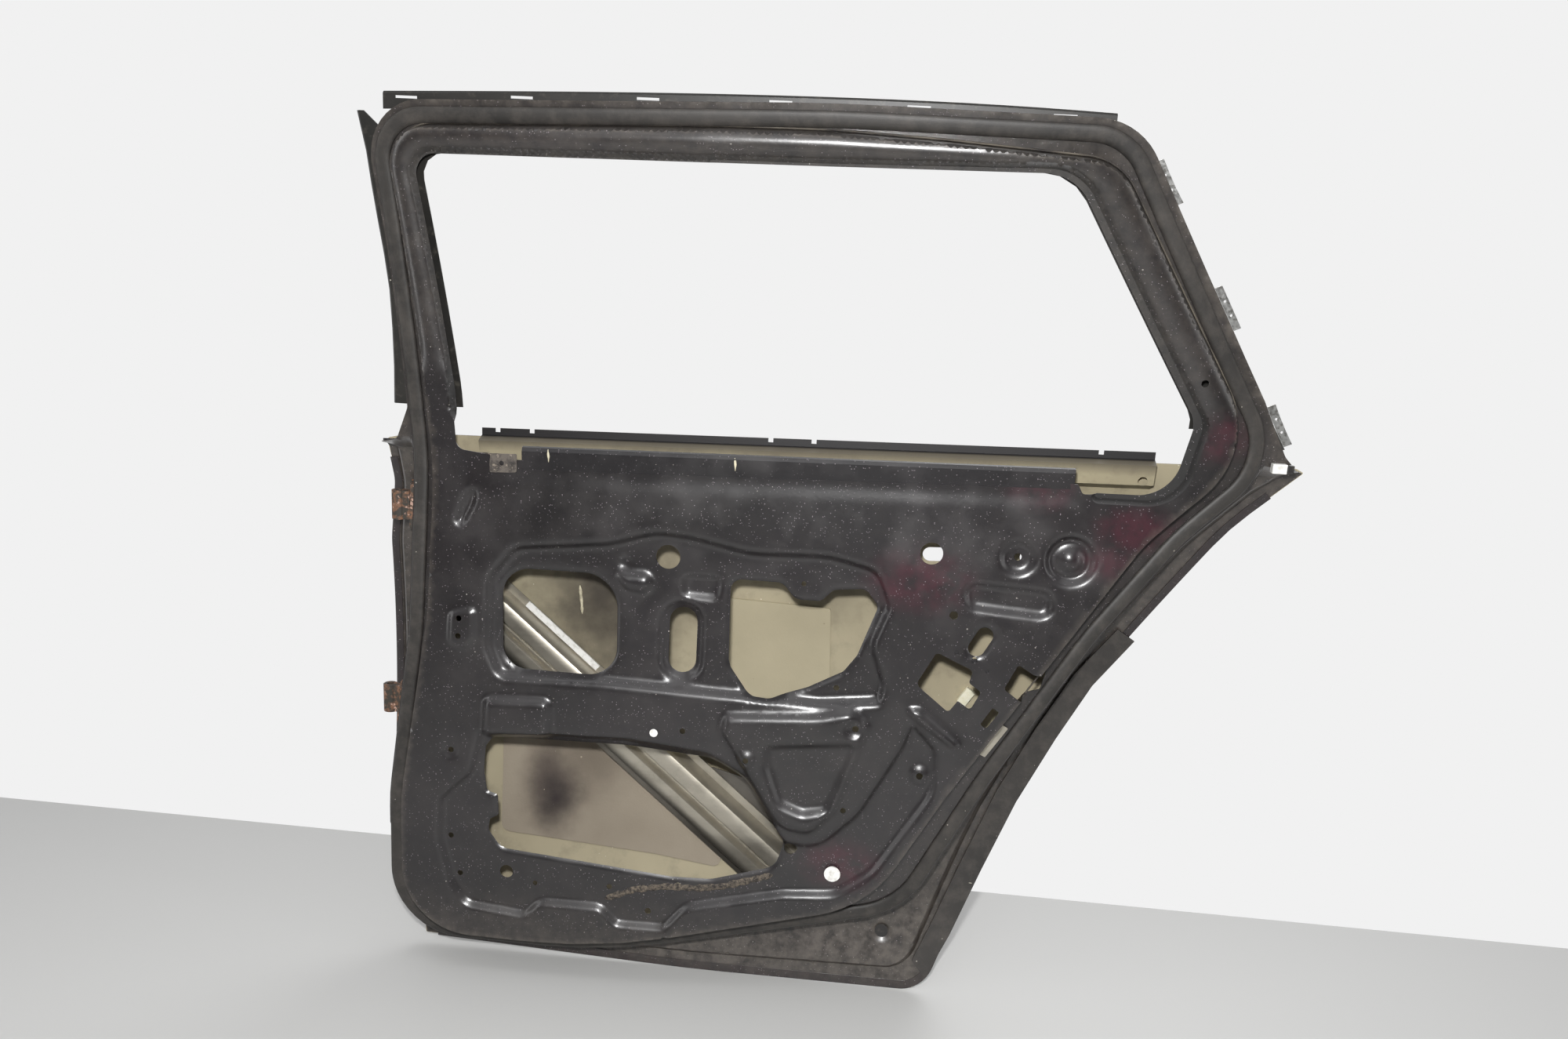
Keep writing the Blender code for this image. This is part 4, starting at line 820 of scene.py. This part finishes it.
def beam_plane(x, z):
    """Depth (m) of the beam's flanges at a drawn point: a straight line between its ends."""
    t = (Vector((x, z)) - BEAM_A).dot(beam_dir) / (BEAM_B - BEAM_A).length
    ya, yb = (float(skin_y(end.y)) - BEAM_TO_SKIN for end in (BEAM_A, BEAM_B))
    return ya + t * (yb - ya)


# The lower side's darkening is painted shade, for the side facing away from the light
across = [i / 30 - 1 for i in range(61)]
verts, shaded_underside = [], []
for i in range(BEAM_ROWS + 1):
    c = BEAM_A.lerp(BEAM_B, i / BEAM_ROWS)
    for s in across:
        q = c + beam_side * (s * BEAM_HALF)
        verts.append(spot(q.x, beam_plane(c.x, c.y) - hat(s) * BEAM_DEPTH, q.y))
        shaded_underside.append(0.80 * float(ramp(-0.30 - s, 0.30)))
n = len(across)
faces = [(i * n + j, i * n + j + 1, (i + 1) * n + j + 1, (i + 1) * n + j)
         for i in range(BEAM_ROWS) for j in range(n - 1)]
beam = piece("double_crown_beam", verts, faces, [steel], {"shaded_underside": shaded_underside})
thickened(beam, BEAM_SHEET)
fitted(beam, "coated_steel", "side_impact_beam")


def dressed(finish, *names):
    """Gives CAD nodes whose shape is right their finish."""
    for name in names:
        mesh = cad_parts[name].data
        mesh.materials.clear()
        mesh.materials.append(finish)


dressed(steel, "edge_tab")

# The end plates kept their dark mill scale below a thin coat
scaled_steel, shader, tree, place = finish_of("mill_scale_steel", Metallic=0.6, Roughness=0.42)
tone = mixed(tree, clouds(tree, place, 60, 0.35, 0.7, 6.0), colour("#6c6862"), colour("#55514c"))
painted(tree, shader, mixed(tree, specks(tree, place, 9, 0.8, 0.2), tone, colour("#98928a")))
dressed(scaled_steel, "beam_front_plate", "beam_rear_plate")

# Belt rails and bracket
# Rolled strips spot-welded along the belt. The outer one is in primer below a lip that
# was sprayed black, with painted shade darkening the primer under the lip; the inner one
# was painted with the door, and has light runs on it.
belt_primer, shader, tree, place = finish_of("belt_primer", Roughness=0.55)
axes = node(tree, "ShaderNodeSeparateXYZ", {0: place})
# Heights (m) at the door's middle of the band of painted shade under the lip and of the
# sprayed lip's lower edge; the rail rises to the rear
RAIL_RISE = 0.031
PAINTED_SHADE_BAND = (0.6860, 0.7010)
LIP_EDGE = (0.7020, 0.7036)
level = node(tree, "ShaderNodeMath", {0: axes.outputs["X"], 1: -RAIL_RISE, 2: axes.outputs["Z"]},
             operation="MULTIPLY_ADD").outputs[0]
shade = node(tree, "ShaderNodeMapRange", {0: level, 1: PAINTED_SHADE_BAND[0], 2: PAINTED_SHADE_BAND[1],
                                          3: 0.0, 4: 0.85}).outputs[0]
lip = node(tree, "ShaderNodeMapRange", {0: level, 1: LIP_EDGE[0], 2: LIP_EDGE[1],
                                        3: 0.0, 4: 1.0}).outputs[0]
tone = mixed(tree, clouds(tree, place, 120, 0.3, 0.7), colour("#b3a98c"), colour("#978d76"))
# Painted shade: the primer darkens up towards the lip
tone = mixed(tree, shade, tone, colour("#4d483f"))
tone = mixed(tree, scaled(tree, clouds(tree, place, 20, 0.5, 0.8, 7.0, 0.65), 0.5), tone,
             colour("#5e574c"))
painted(tree, shader, mixed(tree, lip, tone, colour("#1c1a1b")))
dressed(belt_primer, "outer_belt_reinforcement")
dressed(plum_paint, "inner_belt_reinforcement", "upper_hinge_reinforcement",
        "lower_hinge_reinforcement", "latch_reinforcement", "front_corner_cap")

# Scuffed paint worn through to grey primer and brown metal
scuffed, shader, tree, place = finish_of("scuffed_bracket_paint", Roughness=0.55)
tone = mixed(tree, clouds(tree, place, 10, 0.42, 0.58, 6.0, 0.7), colour("#5e5750"), colour("#2c2826"))
tone = mixed(tree, clouds(tree, place, 5, 0.60, 0.68, 5.0), tone, colour("#8a7f72"))
painted(tree, shader, tone)
dressed(scuffed, "belt_corner_bracket")


def front_of(name, x, z):
    """Depth (m) at which a look from the front meets this node at a drawn point."""
    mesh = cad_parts[name].data
    sides = [tuple(p.vertices) for p in mesh.polygons]
    tree = BVHTree.FromPolygons([v.co for v in mesh.vertices], sides)
    start = spot(x, 0.0, z)
    start.y = -1.0
    return tree.ray_cast(start, Vector((0, 1, 0)))[0].y + MID_Y


def laid(name, path, width, height, y_at, mats):
    """Rounded bead of sealer or paint along an open path of (x, z), tapered at its ends."""
    pts = [Vector(path[0])]
    for a, b in zip(path, path[1:]):
        m = max(1, round((Vector(b) - Vector(a)).length / 4))
        pts += [Vector(a).lerp(Vector(b), (i + 1) / m) for i in range(m)]
    verts, last, turns = [], len(pts) - 1, 8
    for i, q in enumerate(pts):
        way = (pts[min(i + 1, last)] - pts[max(i - 1, 0)]).normalized()
        out = Vector((-way.y, way.x))
        end = min(1.0, 0.25 + min(i, last - i) / 2.5)
        wobble = 1 + 0.18 * math.sin(i * 1.7) + 0.10 * math.sin(i * 0.6 + 1)
        for k in range(turns + 1):
            t = math.pi * k / turns
            r = q + out * (math.cos(t) * width / 2 * end * wobble)
            verts.append(spot(r.x, float(y_at(r.x, r.y)) - math.sin(t) * height * end, r.y))
    n = turns + 1
    faces = [(i * n + k, i * n + (k + 1) % n, (i + 1) * n + (k + 1) % n, (i + 1) * n + k)
             for i in range(last) for k in range(n)]
    faces += [tuple(range(n)), tuple(last * n + k for k in range(n))]
    return outward(piece(name, verts, faces, mats))


cream, shader, tree, place = finish_of("cream_sealer", Roughness=0.6)
tone = mixed(tree, clouds(tree, place, 6, 0.35, 0.7, 5.0), colour("#ded7bb"), colour("#a79d85"))
painted(tree, shader, tone)
RUN_WIDTH, RUN_HEIGHT = 3.0, 0.0008
PAINT_RUNS = [("front_paint_run", 227, 678, 663), ("middle_paint_run", 446, 683, 668)]
for name, x, top, bottom in PAINT_RUNS:
    drip = [(x, top), (x + 1, (top + bottom) / 2), (x + 1, bottom)]
    strip = laid(name, drip, RUN_WIDTH, RUN_HEIGHT,
                 lambda x, z: front_of("inner_belt_reinforcement", x, z), [cream])
    fitted(strip, "beige_primer")

# A dusty bead of old trim glue on the face, and one of sealer on the skin
glue, shader, tree, place = finish_of("dusty_trim_glue", Roughness=0.8)
tone = mixed(tree, clouds(tree, place, 4, 0.42, 0.60, 6.0, 0.75), colour("#2a2625"), colour("#6f6558"))
painted(tree, shader, tone)
GLUE_WIDTH, GLUE_HEIGHT = 8.5, 0.0010
SEALER_WIDTH, SEALER_HEIGHT = 4.0, 0.0014
glue_path = [(307, 113), (345, 130), (386, 138), (420, 139), (454, 145), (485, 156), (516, 167)]
trim_glue = laid("trim_glue_bead", glue_path, GLUE_WIDTH, GLUE_HEIGHT,
                 lambda x, z: panel_y([(x, z)])[0] - SHEET / 2, [glue])
fitted(trim_glue, "beige_primer")
sealer_path = [(238, 483), (240, 462), (241, 444)]
skin_bead = laid("skin_sealer_bead", sealer_path, SEALER_WIDTH, SEALER_HEIGHT,
                 lambda x, z: float(skin_y(z)) - SHEET / 2, [cream])
fitted(skin_bead, "beige_primer")

# Frame rails
# Thin pressed rails round the window frame, in semi-gloss black with an olive cast,
# scuffed to a dusty grey.
rail_paint, shader, tree, place = finish_of("rail_black_enamel", Roughness=0.42)
tone = mixed(tree, clouds(tree, place, 70, 0.35, 0.7, 6.0), colour("#1f1e1c"), colour("#2e2c29"))
tone = mixed(tree, scaled(tree, clouds(tree, place, 12, 0.55, 0.75, 8.0, 0.7), 0.6), tone,
             colour("#5a554d"))
painted(tree, shader, mixed(tree, specks(tree, place, 14, 1.1, 0.25), tone, colour("#b5afa3")))
dressed(rail_paint, "frame_outer_panel", "frame_top_rail", "frame_front_rail", "frame_rear_rail")

# Hinges
# Forged leaves with turned knuckles, screwed to the front edge; their paint is worn to
# brown rust at the edges.
hinge_paint, shader, tree, place = finish_of("worn_hinge_paint", Roughness=0.6)
rusty = clouds(tree, place, 9, 0.48, 0.60, 6.0, 0.65)
tone = mixed(tree, rusty, colour("#3a3630"), colour("#7d5a44"))
tone = mixed(tree, clouds(tree, place, 6, 0.62, 0.66, 4.0), tone, colour("#b49484"))
painted(tree, shader, tone)
dressed(hinge_paint, "upper_hinge", "upper_hinge_bolt_1", "upper_hinge_bolt_2", "lower_hinge",
        "lower_hinge_bolt_1", "lower_hinge_bolt_2")

# Damping pads
# Bitumen sheets warmed on to the skin, sprayed over in primer and stained dark by soot.
damping, shader, tree, place = finish_of("bitumen_damping_sheet", Roughness=0.85)
tone = mixed(tree, clouds(tree, place, 130, 0.3, 0.7, 5.0), colour("#a59a89"), colour("#958a7a"))
tone = soot(tree, place, tone, 262, 250, 60, 1.0, "#766c5f")
tone = soot(tree, place, tone, 205, 215, 40, 1.7, "#5a5049")
tone = soot(tree, place, tone, 213, 190, 34, 1.4, "#2f2829")
painted(tree, shader, mixed(tree, specks(tree, place, 12, 1.0, 0.2), tone, colour("#aaa08c")))
grained(tree, shader, place, 420.0, 0.35, 0.0005, 5.0)
dressed(damping, "lower_damping_pad")

# The upper pad was sprayed with the skin and kept its beige
primed_pad, shader, tree, place = finish_of("primed_damping_sheet", Roughness=0.72)
tone = mixed(tree, clouds(tree, place, 140, 0.3, 0.7, 5.0), colour("#bdb397"), colour("#aba187"))
painted(tree, shader, mixed(tree, specks(tree, place, 11, 0.9, 0.2), tone, colour("#8f866f")))
grained(tree, shader, place, 420.0, 0.30, 0.0005, 5.0)
dressed(primed_pad, "upper_damping_pad")

# Foam block
# A cut block of cream closed-cell foam, stuck on the skin behind the latch opening.
foam, shader, tree, place = finish_of("cream_foam", Roughness=0.9)
tone = mixed(tree, clouds(tree, place, 5, 0.3, 0.7, 5.0), colour("#fbf8e4"), colour("#eee8c8"))
painted(tree, shader, tone)
cellular = node(tree, "ShaderNodeTexVoronoi", {"Vector": place, "Scale": 1200.0})
bump = node(tree, "ShaderNodeBump", {"Height": cellular.outputs["Distance"], "Strength": 0.3,
                                     "Distance": 0.0003})
tree.links.new(bump.outputs[0], shader.inputs["Normal"])
FOAM = (0.013, 0.008, 0.022)
FOAM_AT, FOAM_TURN, FOAM_EDGE = (741, 376), 32, 0.0012
foam_y = float(skin_y(FOAM_AT[1])) - SHEET / 2 - FOAM[1] / 2 - CLEARANCE
at = spot(FOAM_AT[0], foam_y, FOAM_AT[1])
bpy.ops.mesh.primitive_cube_add(size=1.0, location=at, rotation=(0, math.radians(FOAM_TURN), 0))
foam_block = bpy.context.object
foam_block.name = foam_block.data.name = "latch_foam_block"
foam_block.scale = FOAM
bpy.ops.object.transform_apply(location=True, rotation=True, scale=True)
soft = foam_block.modifiers.new("soft_edges", "BEVEL")
soft.width = FOAM_EDGE
soft.segments = 3
bpy.ops.object.modifier_apply(modifier="soft_edges")
bpy.ops.object.shade_smooth_by_angle(angle=math.radians(40))
foam_block.select_set(False)
foam_block.data.materials.append(foam)
fitted(foam_block, "white_plastic")

# Clips, plugs and tabs
# Stamped aluminium clips along the rear rail; moulded white and black plastic plugs.
aluminium, shader, tree, place = finish_of("stamped_aluminium", Metallic=1.0)
tone = mixed(tree, clouds(tree, place, 5, 0.45, 0.6, 5.0), colour("#c4c4c2"), colour("#8f8d89"))
painted(tree, shader, tone)
tree.links.new(node(tree, "ShaderNodeMapRange", {0: clouds(tree, place, 4, 0.3, 0.7), 1: 0.0, 2: 1.0,
                                                 3: 0.28, 4: 0.5}).outputs[0],
               shader.inputs["Roughness"])
dressed(aluminium, "upper_rail_clip", "middle_rail_clip", "lower_rail_clip")


def moulded(name, main, stain):
    """Satin plastic with a faint grain and greasy stains."""
    made, shader, tree, place = finish_of(name, Roughness=0.42)
    tone = mixed(tree, clouds(tree, place, 6, 0.5, 0.75, 6.0), colour(main), colour(stain))
    painted(tree, shader, tone)
    grained(tree, shader, place, 1500.0, 0.15, 0.0002)
    return made


white_plastic = moulded("white_nylon", "#efeeea", "#c9c6bc")
black_plastic = moulded("black_nylon", "#2b2928", "#4a4540")
dressed(white_plastic, "lower_hole_plug", "small_hole_plug", "corner_clip", "adhesive_strip")
dressed(black_plastic, "drain_plug", "corner_tab")
